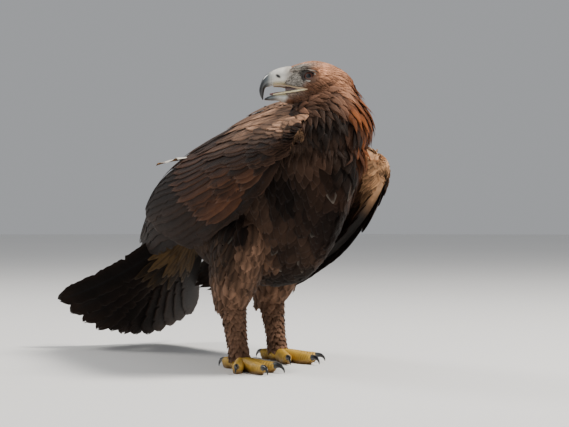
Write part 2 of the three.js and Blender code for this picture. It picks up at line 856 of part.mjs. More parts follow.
// Flesh is made whole and parted by thin level cuts
function halfSpace(origin, up, above) {
  const size = 1600;
  const geometry = new THREE.BoxGeometry(size, size, size);
  geometry.translate(0, 0, above ? size / 2 : -size / 2);
  geometry.applyQuaternion(new THREE.Quaternion().setFromUnitVectors(vec(0, 0, 1), up));
  geometry.translate(origin.x, origin.y, origin.z);
  geometry.deleteAttribute("normal");
  geometry.deleteAttribute("uv");
  return solid(mergeVertices(geometry, 1e-3));
}

function fleshLoft(grow) {
  return union([
    loftOf((a, b) => torsoPoint(a, b, grow), 16, 20),
    loftOf((a, b) => neckPoint(a, b, grow), 6, 16),
    skull(grow),
  ]);
}
const flesh = fleshLoft(0);
const fleshKeep = fleshLoft(CLEAR); // what other pieces are cut by

// The neck ends on a slope at the jaw and at the shoulders
const JAW_UP = vec(0, 0, 1).addScaledVector(FORWARD, 0.45).normalize();
const JAW_AT = headPoint(20, 0, -41);
const BASE_UP = vec(0, -0.42, 1).normalize();
const BASE_AT = vec(0, -160, 322);
const lifted = (at, up, by) => at.clone().addScaledVector(up, by);
const aboveJaw = halfSpace(lifted(JAW_AT, JAW_UP, GAP / 2), JAW_UP, true);
const belowJaw = halfSpace(lifted(JAW_AT, JAW_UP, -GAP / 2), JAW_UP, false);
const aboveBase = halfSpace(lifted(BASE_AT, BASE_UP, GAP / 2), BASE_UP, true);
const belowBase = halfSpace(lifted(BASE_AT, BASE_UP, -GAP / 2), BASE_UP, false);

const torso = largest(flesh.intersect(belowBase));
const headFlesh = largest(flesh.intersect(aboveJaw));
const neckCore = largest(flesh.intersect(belowJaw).intersect(aboveBase));

const eyes = { right: ball(eyeCentre(-1), EYE_RADIUS), left: ball(eyeCentre(1), EYE_RADIUS) };
const sockets = [-1, 1].map((side) => ball(eyeCentre(side), EYE_RADIUS + GAP));
const cereWhole = billLoft(CERE, 4, 12);
const cereKeep = swollen(cereWhole, GAP);
const lowerWhole = billLoft(LOWER_BILL, 7, 10);
const lowerKeep = swollen(lowerWhole, GAP);
const mouth = gape();
const head = largest(
  cutBy(union([headFlesh, brow(-1), brow(1), lids(-1), lids(1)]), [
    ...sockets,
    mouth,
    cereKeep,
    lowerKeep,
  ]),
);
const NOSTRIL = { forward: 41, left: 13.4, radius: 3.4 };
const nostrils = [-1, 1].map((side) => {
  return ball(headPoint(NOSTRIL.forward, side * NOSTRIL.left, 0), NOSTRIL.radius, [1, 1, 0.8], 10);
});
const cere = largest(cutBy(cereWhole, nostrils));
const upperBill = largest(billLoft(UPPER_BILL, 9, 12));
const lowerBill = lowerWhole;
const tongue = largest(cutBy(billLoft(TONGUE, 4, 6), [swollen(head, WIDE_GAP), lowerKeep]));

// Broad blocks that hold the whole of the tail and of each wing, to keep their neighbours clear
const tailBlock = slab(tailSheet, () => 6, () => 20, [0.06, 1.03], [-1.12, 1.12], 6, 8);
const wingBlocks = [RIGHT, LEFT].map((side) => {
  return slab(wingSheet(side), () => 10, () => 32, [-0.02, 1.02], [-0.04, 1.06], 12, 7);
});
// Feathers of the neck stay off the head above and the breast below
const jawLow = halfSpace(lifted(JAW_AT, JAW_UP, -GAP / 2), JAW_UP, true);
const baseHigh = halfSpace(lifted(BASE_AT, BASE_UP, GAP / 2), BASE_UP, false);
const headKeep = fleshKeep.intersect(jawLow);
const torsoKeep = fleshKeep.intersect(baseHigh);
const nape = cutBy(union(hackles()), [headKeep, torsoKeep, ...wingBlocks]);
const neck = largest(union([neckCore, nape]));

const tailNode = largest(cutBy(tail(), [torsoKeep]));
const rightWhole = union([wing(RIGHT, 3), strayFeather(wingSheet(RIGHT))]);
const wings = {
  right: largest(cutBy(rightWhole, [fleshKeep, tailBlock])),
  left: largest(cutBy(wing(LEFT, 5), [fleshKeep, tailBlock])),
};

const FOOT_PAD = { height: 9.2, radius: 13.5, squash: 0.68 };

const colours = {
  plumage: new THREE.MeshStandardMaterial({ color: 0x3a2a20, roughness: 0.8 }),
  hackle: new THREE.MeshStandardMaterial({ color: 0x8a5230, roughness: 0.75 }),
  flight: new THREE.MeshStandardMaterial({ color: 0x2a1f1a, roughness: 0.7 }),
  leg: new THREE.MeshStandardMaterial({ color: 0x4a3426, roughness: 0.85 }),
  cere: new THREE.MeshStandardMaterial({ color: 0xc9b458, roughness: 0.45 }),
  horn: new THREE.MeshStandardMaterial({ color: 0x2c3036, roughness: 0.3 }),
  eye: new THREE.MeshStandardMaterial({ color: 0x5a2a14, roughness: 0.08 }),
  tongue: new THREE.MeshStandardMaterial({ color: 0x8a6a70, roughness: 0.5 }),
};

const bird = new THREE.Group();

function geometryOf(body) {
  const mesh = body.getMesh();
  const n = mesh.numProp;
  const points = new Float32Array(mesh.numVert * 3);
  for (let i = 0; i < mesh.numVert; i++) {
    points.set(mesh.vertProperties.subarray(i * n, i * n + 3), i * 3);
  }
  const geometry = new THREE.BufferGeometry();
  geometry.setAttribute("position", new THREE.BufferAttribute(points, 3));
  geometry.setIndex(new THREE.BufferAttribute(mesh.triVerts, 1));
  geometry.computeVertexNormals();
  return geometry;
}

function place(name, body, material) {
  const mesh = new THREE.Mesh(geometryOf(body), material);
  mesh.name = name;
  bird.add(mesh);
}

place("torso", torso, colours.plumage);
place("neck", neck, colours.hackle);
place("head", head, colours.hackle);
place("cere", cere, colours.cere);
place("bill_upper", upperBill, colours.horn);
place("bill_lower", lowerBill, colours.horn);
place("tongue", tongue, colours.tongue);
place("eye_right", eyes.right, colours.eye);
place("eye_left", eyes.left, colours.eye);
place("tail", tailNode, colours.flight);
place("wing_right", wings.right, colours.flight);
place("wing_left", wings.left, colours.flight);

for (const leg of ["right", "left"]) {
  const shankWhole = shank(leg);
  const shankKeep = swollen(shankWhole, GAP);
  const thighSolid = largest(cutBy(thigh(leg, 11), [torsoKeep, ...wingBlocks, shankKeep]));
  const toes = Object.keys(TOES).map((name) => toe(leg, name));
  const claws = Object.keys(TOES).map((name) => claw(leg, name));
  const padCentre = vec(...LEGS[leg].ball).setZ(FOOT_PAD.height);
  const pad = ball(padCentre, FOOT_PAD.radius, [1, 1, FOOT_PAD.squash], 8);
  const plates = Object.keys(TOES).flatMap((name) => scutes(leg, name));
  const keepClaws = claws.map((body) => swollen(body, GAP));
  const foot = largest(cutBy(union([pad, ...toes, ...plates]), [shankKeep, ...keepClaws]));
  place("thigh_" + leg, thighSolid, colours.leg);
  place("shank_" + leg, shankWhole, colours.leg);
  place("foot_" + leg, foot, colours.cere);
  Object.keys(TOES).forEach((name, i) => {
    place("claw_" + name + "_" + leg, claws[i], colours.horn);
  });
}

// The origin is put on the floor under the middle of the whole bird
const extent = new THREE.Box3().setFromObject(bird);
const middle = extent.getCenter(vec());
bird.position.set(-middle.x, -middle.y, 0);

export default bird;
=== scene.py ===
# %% [markdown]
# # Dressing a golden eagle
# The solids give the bird its size, stance and main feathers. Here it gets its coat: a skin, some
# thousands of small feathers that follow the lie of the plumage, and the large feathers of wings and
# tail one by one. Everything is measured in the millimetres of the solids and placed by them.

import itertools
import json
import math

import bpy
import numpy as np
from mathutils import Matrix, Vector
from mathutils.bvhtree import BVHTree

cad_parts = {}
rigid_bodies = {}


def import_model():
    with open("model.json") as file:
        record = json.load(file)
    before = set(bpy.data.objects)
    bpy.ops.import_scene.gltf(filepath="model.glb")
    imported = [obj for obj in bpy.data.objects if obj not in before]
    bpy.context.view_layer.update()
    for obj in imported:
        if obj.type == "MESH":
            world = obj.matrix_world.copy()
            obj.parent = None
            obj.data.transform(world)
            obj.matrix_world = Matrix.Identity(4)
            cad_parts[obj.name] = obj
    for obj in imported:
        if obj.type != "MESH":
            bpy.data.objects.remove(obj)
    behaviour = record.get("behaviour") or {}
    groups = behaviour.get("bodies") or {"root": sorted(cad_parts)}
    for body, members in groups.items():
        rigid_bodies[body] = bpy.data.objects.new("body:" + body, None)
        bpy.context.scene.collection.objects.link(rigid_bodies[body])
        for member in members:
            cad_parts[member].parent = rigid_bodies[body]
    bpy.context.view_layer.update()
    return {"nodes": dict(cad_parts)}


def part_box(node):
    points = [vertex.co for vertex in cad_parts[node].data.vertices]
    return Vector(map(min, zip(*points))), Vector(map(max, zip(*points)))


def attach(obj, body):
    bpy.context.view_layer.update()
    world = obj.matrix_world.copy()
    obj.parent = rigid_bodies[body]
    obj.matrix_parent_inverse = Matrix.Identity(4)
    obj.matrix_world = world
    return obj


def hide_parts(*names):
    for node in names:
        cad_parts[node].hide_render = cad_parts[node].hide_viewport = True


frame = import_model()
print("solids:", len(frame["nodes"]), "nodes")

# %% [markdown]
# The solids were drawn with the bird's feet near the origin and then moved to stand centred on it.
# The left eyeball is the same ball in both, so its place tells how far everything was moved.

# %% Find how far the solids were moved
MM = 0.001
RIGHT, LEFT = -1, 1
EYE_PLACE = np.array([-20.6, -149.7, 400.0])  # between the eyes
FORWARD = np.array([-0.8660254, 0.5, 0.0])  # along the bill
SIDEWAYS = np.array([-0.5, -0.8660254, 0.0])  # the head's own left
UP = np.array([0.0, 0.0, 1.0])
EYE_SIDE = 21.0
EYE_RADIUS = 11.5


def on_head(forward, left, up):
    forward, left, up = np.broadcast_arrays(forward, left, up)
    return EYE_PLACE + forward[..., None] * FORWARD + left[..., None] * SIDEWAYS + up[..., None] * UP


low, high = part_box("eye_left")
SHIFT = (np.array(low) + np.array(high)) / 2 / MM - on_head(0.0, EYE_SIDE, 0.0)
SHIFT[2] = 0.0
print("moved by", SHIFT.round(2), "mm")

# %% [markdown]
# A camera at the height of the bird's flank looks level at its right breast, so wings, tail and turned
# head show as in the photograph. A long lens keeps the perspective as flat as it is there.

# %% Camera
camera_data = bpy.data.cameras.new("camera")
camera_data.lens = 97.4
camera_data.sensor_width = 36.0
camera = bpy.data.objects.new("camera", camera_data)
bpy.context.scene.collection.objects.link(camera)
camera.location = Vector((np.array([-1079.2, -1917.2, 217.5]) + SHIFT) * MM)
camera.rotation_euler = (math.radians(90), 0, math.radians(-30))
bpy.context.scene.camera = camera

# %% [markdown]
# Studio light: a soft key from high up on the breast side, as the sun stands in the photograph, a
# weak fill, and a light from behind that draws the edges of the dark feathers. The floor is pale and plain.

# %% Light and floor


def lamp(name, place, size, watts, colour):
    data = bpy.data.lights.new(name, "AREA")
    data.size = size
    data.energy = watts
    data.color = colour
    light = bpy.data.objects.new(name, data)
    bpy.context.scene.collection.objects.link(light)
    light.location = place
    aim = Vector((0, 0, 0.22)) - Vector(place)
    light.rotation_euler = aim.to_track_quat("-Z", "Y").to_euler()
    return light


lamp("key", (1.3, -1.5, 2.9), 0.8, 172, (1.0, 0.96, 0.9))
lamp("fill", (-2.6, -1.4, 1.2), 2.0, 9, (0.92, 0.96, 1.0))
lamp("rim", (-1.2, 2.0, 2.3), 1.0, 38, (1.0, 0.97, 0.93))
world = bpy.data.worlds.new("studio")
world.use_nodes = True
world.node_tree.nodes["Background"].inputs["Color"].default_value = (0.82, 0.84, 0.87, 1)
world.node_tree.nodes["Background"].inputs["Strength"].default_value = 0.45
bpy.context.scene.world = world

# %% [markdown]
# ## Helpers
# Curves pass through named stations, exactly as in the solids, so that coat and solids agree.

# %% A smooth curve through stations


def through(rows):
    rows = np.asarray(rows, float)
    first = 2 * rows[0] - rows[1]
    final = 2 * rows[-1] - rows[-2]
    padded = np.vstack([first, rows, final])
    last = len(rows) - 1

    def curve(x):
        at = np.clip(np.asarray(x, float), 0, 1) * last
        i = np.minimum(np.floor(at).astype(int), last - 1)
        u = (at - i)[..., None]
        p, a, b, n = padded[i], padded[i + 1], padded[i + 2], padded[i + 3]
        slope_a, slope_b = (b - p) / 2, (n - a) / 2
        cubic = 2 * a - 2 * b + slope_a + slope_b
        square = -3 * a + 3 * b - 2 * slope_a - slope_b
        return ((cubic * u + square) * u + slope_a) * u + a

    return curve


def unit(v):
    return v / np.maximum(np.linalg.norm(v, axis=-1, keepdims=True), 1e-9)


def smooth(x):
    x = np.clip(x, 0, 1)
    return x * x * (3 - 2 * x)


def mix(a, b, share):
    return a + (b - a) * share


# %% [markdown]
# Colours are written as on a paint chart and turned into light values.

# %% Colours by name


def ink(code):
    parts = np.array([int(code[i : i + 2], 16) for i in (0, 2, 4)]) / 255
    return np.where(parts <= 0.04045, parts / 12.92, ((parts + 0.055) / 1.055) ** 2.4)


# %% [markdown]
# Every piece becomes a mesh in metres, rides on the one body and hides the solids it stands for. Corner
# data carries its colour, a map across each feather, and a small patch in a second map named OFBake.

# %% Make a mesh piece


def piece(name, points, faces, material, slot, stands_for=(), colours=None, uv=None, patch=None):
    mesh = bpy.data.meshes.new(name)
    points = (np.asarray(points).reshape(-1, 3) + SHIFT) * MM
    if isinstance(faces, np.ndarray):
        mesh.vertices.add(len(points))
        mesh.vertices.foreach_set("co", points.ravel())
        mesh.loops.add(faces.size)
        mesh.loops.foreach_set("vertex_index", faces.ravel().astype(np.int32))
        mesh.polygons.add(len(faces))
        mesh.polygons.foreach_set("loop_start", np.arange(0, faces.size, faces.shape[1], dtype=np.int32))
        mesh.update(calc_edges=True)
    else:
        mesh.from_pydata(points.tolist(), [], faces)
    mesh.validate()
    mesh.polygons.foreach_set("use_smooth", np.ones(len(mesh.polygons), bool))
    order = np.zeros(len(mesh.loops), np.int32)
    mesh.loops.foreach_get("vertex_index", order)
    for label, data in (("FeatherMap", uv), ("OFBake", patch)):
        if data is not None:
            layer = mesh.uv_layers.new(name=label)
            layer.data.foreach_set("uv", data.reshape(-1, 2)[order].astype(np.float32).ravel())
    if colours is not None:
        paint(mesh, colours.reshape(-1, 3))
    mesh.materials.append(material)
    made = bpy.data.objects.new(name, mesh)
    bpy.context.scene.collection.objects.link(made)
    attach(made, "root")
    if stands_for:
        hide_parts(*stands_for)
    return made


def paint(mesh, colours):
    layer = mesh.color_attributes.new("Plume", "FLOAT_COLOR", "POINT")
    rgba = np.ones((len(mesh.vertices), 4), np.float32)
    rgba[:, :3] = colours
    layer.data.foreach_set("color", rgba.ravel())


# %% [markdown]
# A closed tube through rings, with a point over each end, makes bills, claws, toes and flesh.

# %% Loft rings into a closed form


def loft(rule, along, around):
    share, angle = np.meshgrid(
        np.linspace(0, 1, along + 1), np.arange(around) / around * 2 * np.pi, indexing="ij"
    )
    rings = rule(share, angle)
    ends = np.stack([rings[0].mean(0), rings[-1].mean(0)])
    points = np.vstack([rings.reshape(-1, 3), ends])
    faces = []
    for i in range(along):
        for k in range(around):
            a, b = i * around + k, i * around + (k + 1) % around
            faces.append((a, b, b + around, a + around))
    hub = (along + 1) * around
    for k in range(around):
        a, b = k, (k + 1) % around
        faces.append((hub, b, a))
        faces.append((hub + 1, along * around + a, along * around + b))
    return points, faces


def joined(forms):
    """Several lofted forms as one list of points and one of faces."""
    starts = np.cumsum([0] + [len(points) for points, _ in forms]).tolist()
    faces = [tuple(i + start for i in face) for start, form in zip(starts, forms) for face in form[1]]
    return np.vstack([points for points, _ in forms]), faces


# %% [markdown]
# ## Materials
# A feather's vane is rows of fine barbs. Its colour is painted on the mesh, and the barbs are a slanted
# wave that darkens and dents it a little. Sheen gives the soft edge light of real plumage.

# %% Feather material


def wire(links, node, inputs):
    """Set a node's inputs: a socket is linked, and a number or colour is stored."""
    for key, value in inputs.items():
        if isinstance(value, bpy.types.NodeSocket):
            links.new(value, node.inputs[key])
        else:
            node.inputs[key].default_value = value


def new_material(name):
    """Returns the material, a function that adds a node, and one that sets the shader's inputs."""
    material = bpy.data.materials.new(name)
    material.use_nodes = True
    tree = material.node_tree

    def add(kind, inputs=None, **settings):
        node = tree.nodes.new("ShaderNode" + kind)
        for key, value in settings.items():
            setattr(node, key, value)
        wire(tree.links, node, inputs or {})
        return node

    def shade(**inputs):
        names = {key.replace("_", " "): value for key, value in inputs.items()}
        wire(tree.links, tree.nodes["Principled BSDF"], names)

    return material, add, shade


def painted(add, strength):
    """The colour painted on the mesh, made lighter or darker by a strength."""
    paint_node = add("Attribute", attribute_name="Plume")
    tone = add("VectorMath", {0: paint_node.outputs["Color"], "Scale": strength}, operation="SCALE")
    return tone.outputs[0]


def feather_material(name, roughness, gloss, barbs, contrast, dent):
    material, add, shade = new_material(name)
    across = add("UVMap", uv_map="FeatherMap")
    split = add("SeparateXYZ", {0: across.outputs["UV"]})
    # Barbs leave the shaft and slant towards the tip on both sides
    centre = add("Math", {0: split.outputs["X"], 1: 0.5}, operation="SUBTRACT")
    sides = add("Math", {0: centre.outputs[0]}, operation="ABSOLUTE")
    slant = add("Math", {0: sides.outputs[0], 1: -0.35, 2: split.outputs["Y"]}, operation="MULTIPLY_ADD")
    join = add("CombineXYZ", {"X": slant.outputs[0]})
    wave = add("TexWave", {"Scale": barbs, "Distortion": 1.6, "Detail": 2.0, "Detail Scale": 2.0,
                           "Vector": join.outputs[0]})
    place = add("TexCoord")
    mottle = add("TexNoise", {"Scale": 55.0, "Detail": 4.0, "Vector": place.outputs["Object"]})
    lines = add("MapRange", {"To Min": 1 - contrast, "To Max": 1 + contrast * 0.7,
                             "Value": wave.outputs["Fac"]})
    cloud = add("MapRange", {"From Min": 0.3, "From Max": 0.7, "To Min": 0.78, "To Max": 1.22,
                             "Value": mottle.outputs["Fac"]})
    both = add("Math", {0: lines.outputs[0], 1: cloud.outputs[0]}, operation="MULTIPLY")
    bump = add("Bump", {"Strength": dent, "Distance": 0.0006, "Height": wave.outputs["Fac"]})
    shade(Base_Color=painted(add, both.outputs[0]), Normal=bump.outputs[0], Roughness=roughness,
          Specular_IOR_Level=gloss, Sheen_Weight=0.04, Sheen_Roughness=0.45)
    return material


body_vanes = feather_material("body feathers", 0.7, 0.05, 14, 0.16, 0.35)
wing_vanes = feather_material("flight feathers", 0.6, 0.05, 30, 0.14, 0.4)
hackle_vanes = feather_material("nape hackles", 0.55, 0.1, 10, 0.2, 0.35)

# %% [markdown]
# Horn, bare skin and scales are painted the same way, with noise for wear and a bump of their own:
# growth lines on horn, pebbles on the skin of the toes.

# %% Materials of horn, skin and scales


def surface_material(name, roughness, grain_scale, dent, scales=False, coat=0.0, spread=0.15):
    material, add, shade = new_material(name)
    place = add("TexCoord").outputs["Object"]
    grain = add("TexVoronoi" if scales else "TexNoise", {"Scale": grain_scale, "Vector": place})
    cloud = add("TexNoise", {"Scale": grain_scale * 0.3, "Detail": 5.0, "Vector": place})
    share = add("MapRange", {"From Min": 0.3, "From Max": 0.7, "To Min": 1 - spread, "To Max": 1 + spread,
                             "Value": cloud.outputs["Fac"]})
    height = grain.outputs["Distance" if scales else "Fac"]
    bump = add("Bump", {"Strength": dent, "Distance": 0.0005, "Height": height}, invert=scales)
    shade(Base_Color=painted(add, share.outputs[0]), Normal=bump.outputs[0], Roughness=roughness,
          Coat_Weight=coat, Coat_Roughness=0.08)
    return material


horn_finish = surface_material("horn", 0.28, 160, 0.12, coat=0.3, spread=0.12)
cere_finish = surface_material("cere skin", 0.38, 420, 0.15, coat=0.15)
toe_finish = surface_material("toe scales", 0.5, 480, 0.8, scales=True, spread=0.18)
skin_finish = surface_material("downy skin", 0.9, 300, 0.4, spread=0.25)
wet_finish = surface_material("tongue and gape", 0.22, 300, 0.15, coat=0.4)
eye_finish = surface_material("eyeball", 0.1, 500, 0.01, spread=0.1)
floor_finish = surface_material("studio floor", 0.85, 3, 0.02, spread=0.01)

# %% [markdown]
# The floor is one broad pale disc. It is not attached to the bird's body, so it isn't part of the bird.

# %% Floor
FLOOR_RADIUS = 14000  # mm
turn = np.arange(96) / 96 * 2 * np.pi
rim = np.stack([np.cos(turn), np.sin(turn), turn * 0], 1) * FLOOR_RADIUS
floor_mesh = bpy.data.meshes.new("floor")
floor_mesh.from_pydata((rim * MM).tolist(), [], [list(range(96))])
paint(floor_mesh, np.tile(ink("f0efed"), (96, 1)))
floor_mesh.materials.append(floor_finish)
floor = bpy.data.objects.new("floor", floor_mesh)
bpy.context.scene.collection.objects.link(floor)

# %% [markdown]
# ## Flesh
# The same sections as in the solids, drawn in by the depth of the coat, give the skin. Breast, neck,
# skull, thighs and shanks are joined into one closed form, so no seam shows between the feathers.

# %% Sections of torso, neck and skull
TORSO = through([
    [-213, 300, 262, 280, 8, 0],
    [-204, 322, 225, 282, 36, 0.7],
    [-182, 338, 186, 284, 54, 0.8],
    [-142, 350, 150, 284, 74, 0.65],
    [-85, 350, 122, 268, 92, 0.5],
    [-20, 340, 113, 244, 94, 0.15],
    [50, 320, 116, 222, 88, 0],
    [115, 295, 130, 214, 74, 0],
    [170, 268, 154, 213, 54, 0],
    [212, 246, 180, 215, 38, 0],
    [240, 232, 196, 214, 22, 0],
])
NECK = through([
    [282, -4, -150, 50, 46],
    [312, -8, -156, 66, 56],
    [338, -3, -160, 64, 54],
    [362, 2, -163, 48, 46],
    [384, 4, -164, 33, 36],
    [404, 0, -160, 20, 24],
])
SKULL = through([
    [-58, -6, -20, -12, 5],
    [-51, 3, -34, -12, 19],
    [-40, 11, -44, -12, 28],
    [-24, 19, -48, -12, 34],
    [-6, 23, -46, -11, 35],
    [10, 20.5, -42, -12, 31],
    [23, 16.5, -37, -13, 23.5],
    [32, 13.5, -33, -13, 17],
])


def torso_point(share, angle, coat):
    y, top, bottom, level, half, keel = np.moveaxis(TORSO(share), -1, 0)
    up, side = np.sin(angle), np.cos(angle)
    straight = np.sign(side) * (1 - np.abs(up))
    across = np.where(up > 0, side, mix(side, straight, keel))
    reach = np.where(up > 0, top - level, level - bottom)
    return np.stack(
        [across * half - side * coat, y + coat * (1 - 2 * share), level + up * (reach - coat)], -1
    )


def neck_point(share, angle, coat):
    z, x, y, long, wide = np.moveaxis(NECK(share), -1, 0)
    spot = np.stack([x, y, z], -1)
    spot = spot + (np.cos(angle) * (long - coat))[..., None] * FORWARD
    return spot + (np.sin(angle) * (wide - coat))[..., None] * SIDEWAYS


def skull_point(share, angle, coat):
    forward, top, bottom, level, half = np.moveaxis(SKULL(share), -1, 0)
    up = np.sin(angle)
    reach = np.where(up > 0, top - level, level - bottom)
    return on_head(forward, np.cos(angle) * (half - coat), level + up * (reach - coat))


def tube_rule(line, flat=1.0):
    """A tube along a line of (forward, left, up, radius) rows on the head, flat from the side."""
    curve = through(line)

    def rule(share, angle):
        f, l, u, r = np.moveaxis(curve(share), -1, 0)
        ahead = curve(np.clip(share + 0.01, 0, 1)) - curve(np.clip(share - 0.01, 0, 1))
        way = unit(ahead[..., :3])
        side = unit(np.cross(way, np.array([0.3, 0.2, 0.93])))
        over = np.cross(side, way)
        tube = (np.cos(angle) * r * flat)[..., None] * side + (np.sin(angle) * r)[..., None] * over
        return on_head(f + tube[..., 0], l + tube[..., 1], u + tube[..., 2])

    return rule


BROW = [(27, 14.5, 8, 1.5), (16, 26, 10.6, 3.2), (5, 31, 10.4, 4.0), (-6, 32.5, 8.0, 3.2),
        (-14, 31.5, 4.4, 1.4)]


def mirrored(line, side):
    return [(f, side * left, up, r) for f, left, up, r in line]


# %% [markdown]
# Legs hang from the torso: a thigh that narrows to the hock, and a shank feathered down to the toes.

# %% Sections of the legs
LEGS = {
    "right": dict(side=RIGHT, knee=(-60, -34, 190), hock=(-62, -2, 92), ball=(-62, -34, 17), turn=-4),
    "left": dict(side=LEFT, knee=(58, 40, 186), hock=(54, 92, 92), ball=(52, 58, 17), turn=6),
}
THIGH = through([[26, 16], [46, 30], [52, 34], [50, 33], [44, 29], [33, 22], [16, 12]])
SHANK = through([[15, 13], [15.5, 13], [13, 11.5], [12, 11], [13.5, 12.5]])


def leg_sheet(line, top, bottom, coat):
    """A tube down a leg: s from top to bottom, t round it from the front, drawn in by the coat."""

    def sheet(s, t):
        long, wide = np.moveaxis(line(s), -1, 0)
        x, y, z = np.moveaxis(mix(top, bottom, s[..., None]), -1, 0)
        y = y - np.cos(2 * np.pi * t) * (long - coat)
        return np.stack([x + np.sin(2 * np.pi * t) * (wide - coat), y, z], -1)

    sheet.side = 1
    return sheet


def thigh_sheet(leg, coat=0.0):
    """Starts inside the flank, over the knee, and ends just past the hock."""
    knee, hock = np.array(LEGS[leg]["knee"], float), np.array(LEGS[leg]["hock"], float)
    drop = knee[2] - hock[2]
    return leg_sheet(THIGH, mix(knee, hock, -34 / drop), mix(knee, hock, 1 + 8 / drop), coat)


def shank_sheet(leg, coat=0.0):
    hock, ball = np.array(LEGS[leg]["hock"], float), np.array(LEGS[leg]["ball"], float)
    return leg_sheet(SHANK, hock + [0, -2, 12], ball + [0, 4, -3], coat)


# %% [markdown]
# Voxel remeshing melts the overlapping forms into one skin, and smoothing rounds the creases where
# neck meets breast and thigh meets flank. The skin is kept as a tree of faces for placing feathers.

# %% Melt the forms into one skin
COAT = 5.0  # depth of the feathers over the body
SKULL_COAT, THIGH_COAT, SHANK_COAT = 2.0, 4.0, 1.6


def round_leg(sheet):
    return lambda share, angle: sheet(share, angle / (2 * np.pi))


forms = [
    loft(lambda a, b: torso_point(a, b, COAT), 60, 64),
    loft(lambda a, b: neck_point(a, b, COAT), 30, 48),
    loft(lambda a, b: skull_point(a, b, SKULL_COAT), 40, 48),
]
for leg in LEGS:
    forms.append(loft(round_leg(thigh_sheet(leg, THIGH_COAT)), 24, 32))
    forms.append(loft(round_leg(shank_sheet(leg, SHANK_COAT)), 16, 24))
for side in (RIGHT, LEFT):
    forms.append(loft(tube_rule(mirrored(BROW, side)), 24, 14))
skin = piece("skin", *joined(forms), skin_finish, "body_plumage")


remesh = skin.modifiers.new("remesh", "REMESH")
remesh.mode, remesh.voxel_size = "VOXEL", 1.9 * MM
rounding = skin.modifiers.new("smooth", "SMOOTH")
rounding.factor, rounding.iterations = 0.5, 10
graph = bpy.context.evaluated_depsgraph_get()
melted = bpy.data.meshes.new_from_object(skin.evaluated_get(graph))
skin.modifiers.clear()
skin.data = melted
print("skin faces:", len(skin.data.polygons))

# %% [markdown]
# ## Where the feathers point and what colour they are
# Both change slowly over the body. A few marks are listed, each with a place, a direction and a
# colour, and every point takes a mean of the marks weighted by how near they are.

# %% Marks of direction and colour
# DARK, BREAST, BELLY, THROAT and NECK_SIDE are the plumage's dark brown, deepened nearly to black by painted
# shade
DARK, BREAST, BELLY = ink("140e0b"), ink("17100d"), ink("19120e")
# the crown colour is its golden brown made lighter by a painted sheen of sunlight on the head's top
CROWN_AND_SHEEN, CHEEK, LORE, THROAT = ink("c68d6b"), ink("6a4a38"), ink("b8b1a7"), ink("35261d")
TOP_TAN_AND_SHEEN, WRIST_TAN = ink("c29678"), ink("cf9f75")
NAPE, NECK_SIDE, MANTLE = ink("74401f"), ink("1a120d"), ink("281b15")
TROUSER, TROUSER_FRONT, VENT = ink("35281f"), ink("6e5342"), ink("2e2216")


# forward, left (on both sides), up, then how far the way goes forward and up, and the colour
HEAD_MARKS = [
    (30, 0, 14, -1, 0, CROWN_AND_SHEEN), (5, 0, 23, -1, 0, CROWN_AND_SHEEN), (-30, 0, 17, -1, -0.3, CROWN_AND_SHEEN),
    # the dark mark at 10 forward, 30 left and 4 up is painted shadow under the brow, in front of the eye
    (24, 20, -4, -1, 0.2, LORE), (17, 25, -8, -1, 0, LORE * 0.75), (10, 30, 4, -1, 0, DARK * 1.5),
    (15, 26.5, 12.5, -1, 0, LORE), (-14, 33, 6, -1, 0, CROWN_AND_SHEEN), (-20, 34, -12, -1, -0.3, CHEEK),
    (4, 32, -17, -1, -0.2, CHEEK), (-8, 30, -32, -1, -0.4, CHEEK * 0.7), (14, 18, -34, -1, -0.4, CHEEK),
    (-12, 42, -62, -0.2, -1, NECK_SIDE), (-34, 42, -58, -0.3, -1, NECK_SIDE),
    (22, 22, -66, 0, -1, NECK_SIDE), (-58, 26, -42, -0.5, -1, NAPE), (-72, 22, -74, -0.1, -1, NAPE),
    (-50, 42, -100, 0, -1, NECK_SIDE), (-5, 34, -16, -1, -0.25, CHEEK),
    (-34, 28, -8, -1, -0.5, CROWN_AND_SHEEN * 0.6), (18, 0, -40, -1, -0.7, THROAT),
    (-16, 34, -46, -0.3, -1, THROAT), (-56, 0, -8, -0.3, -1, NAPE), (-72, 0, -36, -0.25, -1, NAPE),
    (-84, 0, -70, 0.1, -1, NAPE),
]
BODY_MARKS = [  # place, way, colour
    ((-28, -205, 340), (0, -0.1, -1), NECK_SIDE), ((20, -212, 330), (0, -0.1, -1), NECK_SIDE),
    ((0, -205, 290), (0, 0.05, -1), DARK), ((0, -180, 220), (0, 0.45, -0.9), BREAST),
    ((60, -150, 260), (0.1, 0.3, -1), DARK), ((-60, -150, 260), (-0.1, 0.3, -1), DARK),
    ((0, -100, 140), (0, 0.9, -0.5), BELLY), ((-30, -95, 185), (0, 0.7, -0.8), BREAST),
    ((-8, -72, 132), (0, 0.9, -0.4), BELLY), ((80, -60, 200), (0, 0.7, -0.8), BREAST),
    ((-80, -60, 200), (0, 0.7, -0.8), BREAST), ((0, 0, 112), (0, 1, -0.1), BELLY),
    ((0, 90, 125), (0, 1, 0.1), BELLY), ((0, 190, 170), (0, 0.95, 0.1), VENT),
    ((0, -130, 352), (0, 0.93, -0.36), MANTLE), ((0, 0, 345), (0, 0.93, -0.36), MANTLE),
    ((0, 120, 295), (0, 0.9, -0.42), MANTLE), ((0, 215, 245), (0, 0.8, -0.6), MANTLE),
]
marks = []
for forward, left, up, ahead, rise, colour in HEAD_MARKS:
    for side in (LEFT, RIGHT) if left else (LEFT,):
        marks.append((on_head(forward, side * left, up), ahead * FORWARD + rise * UP, colour))
marks += BODY_MARKS
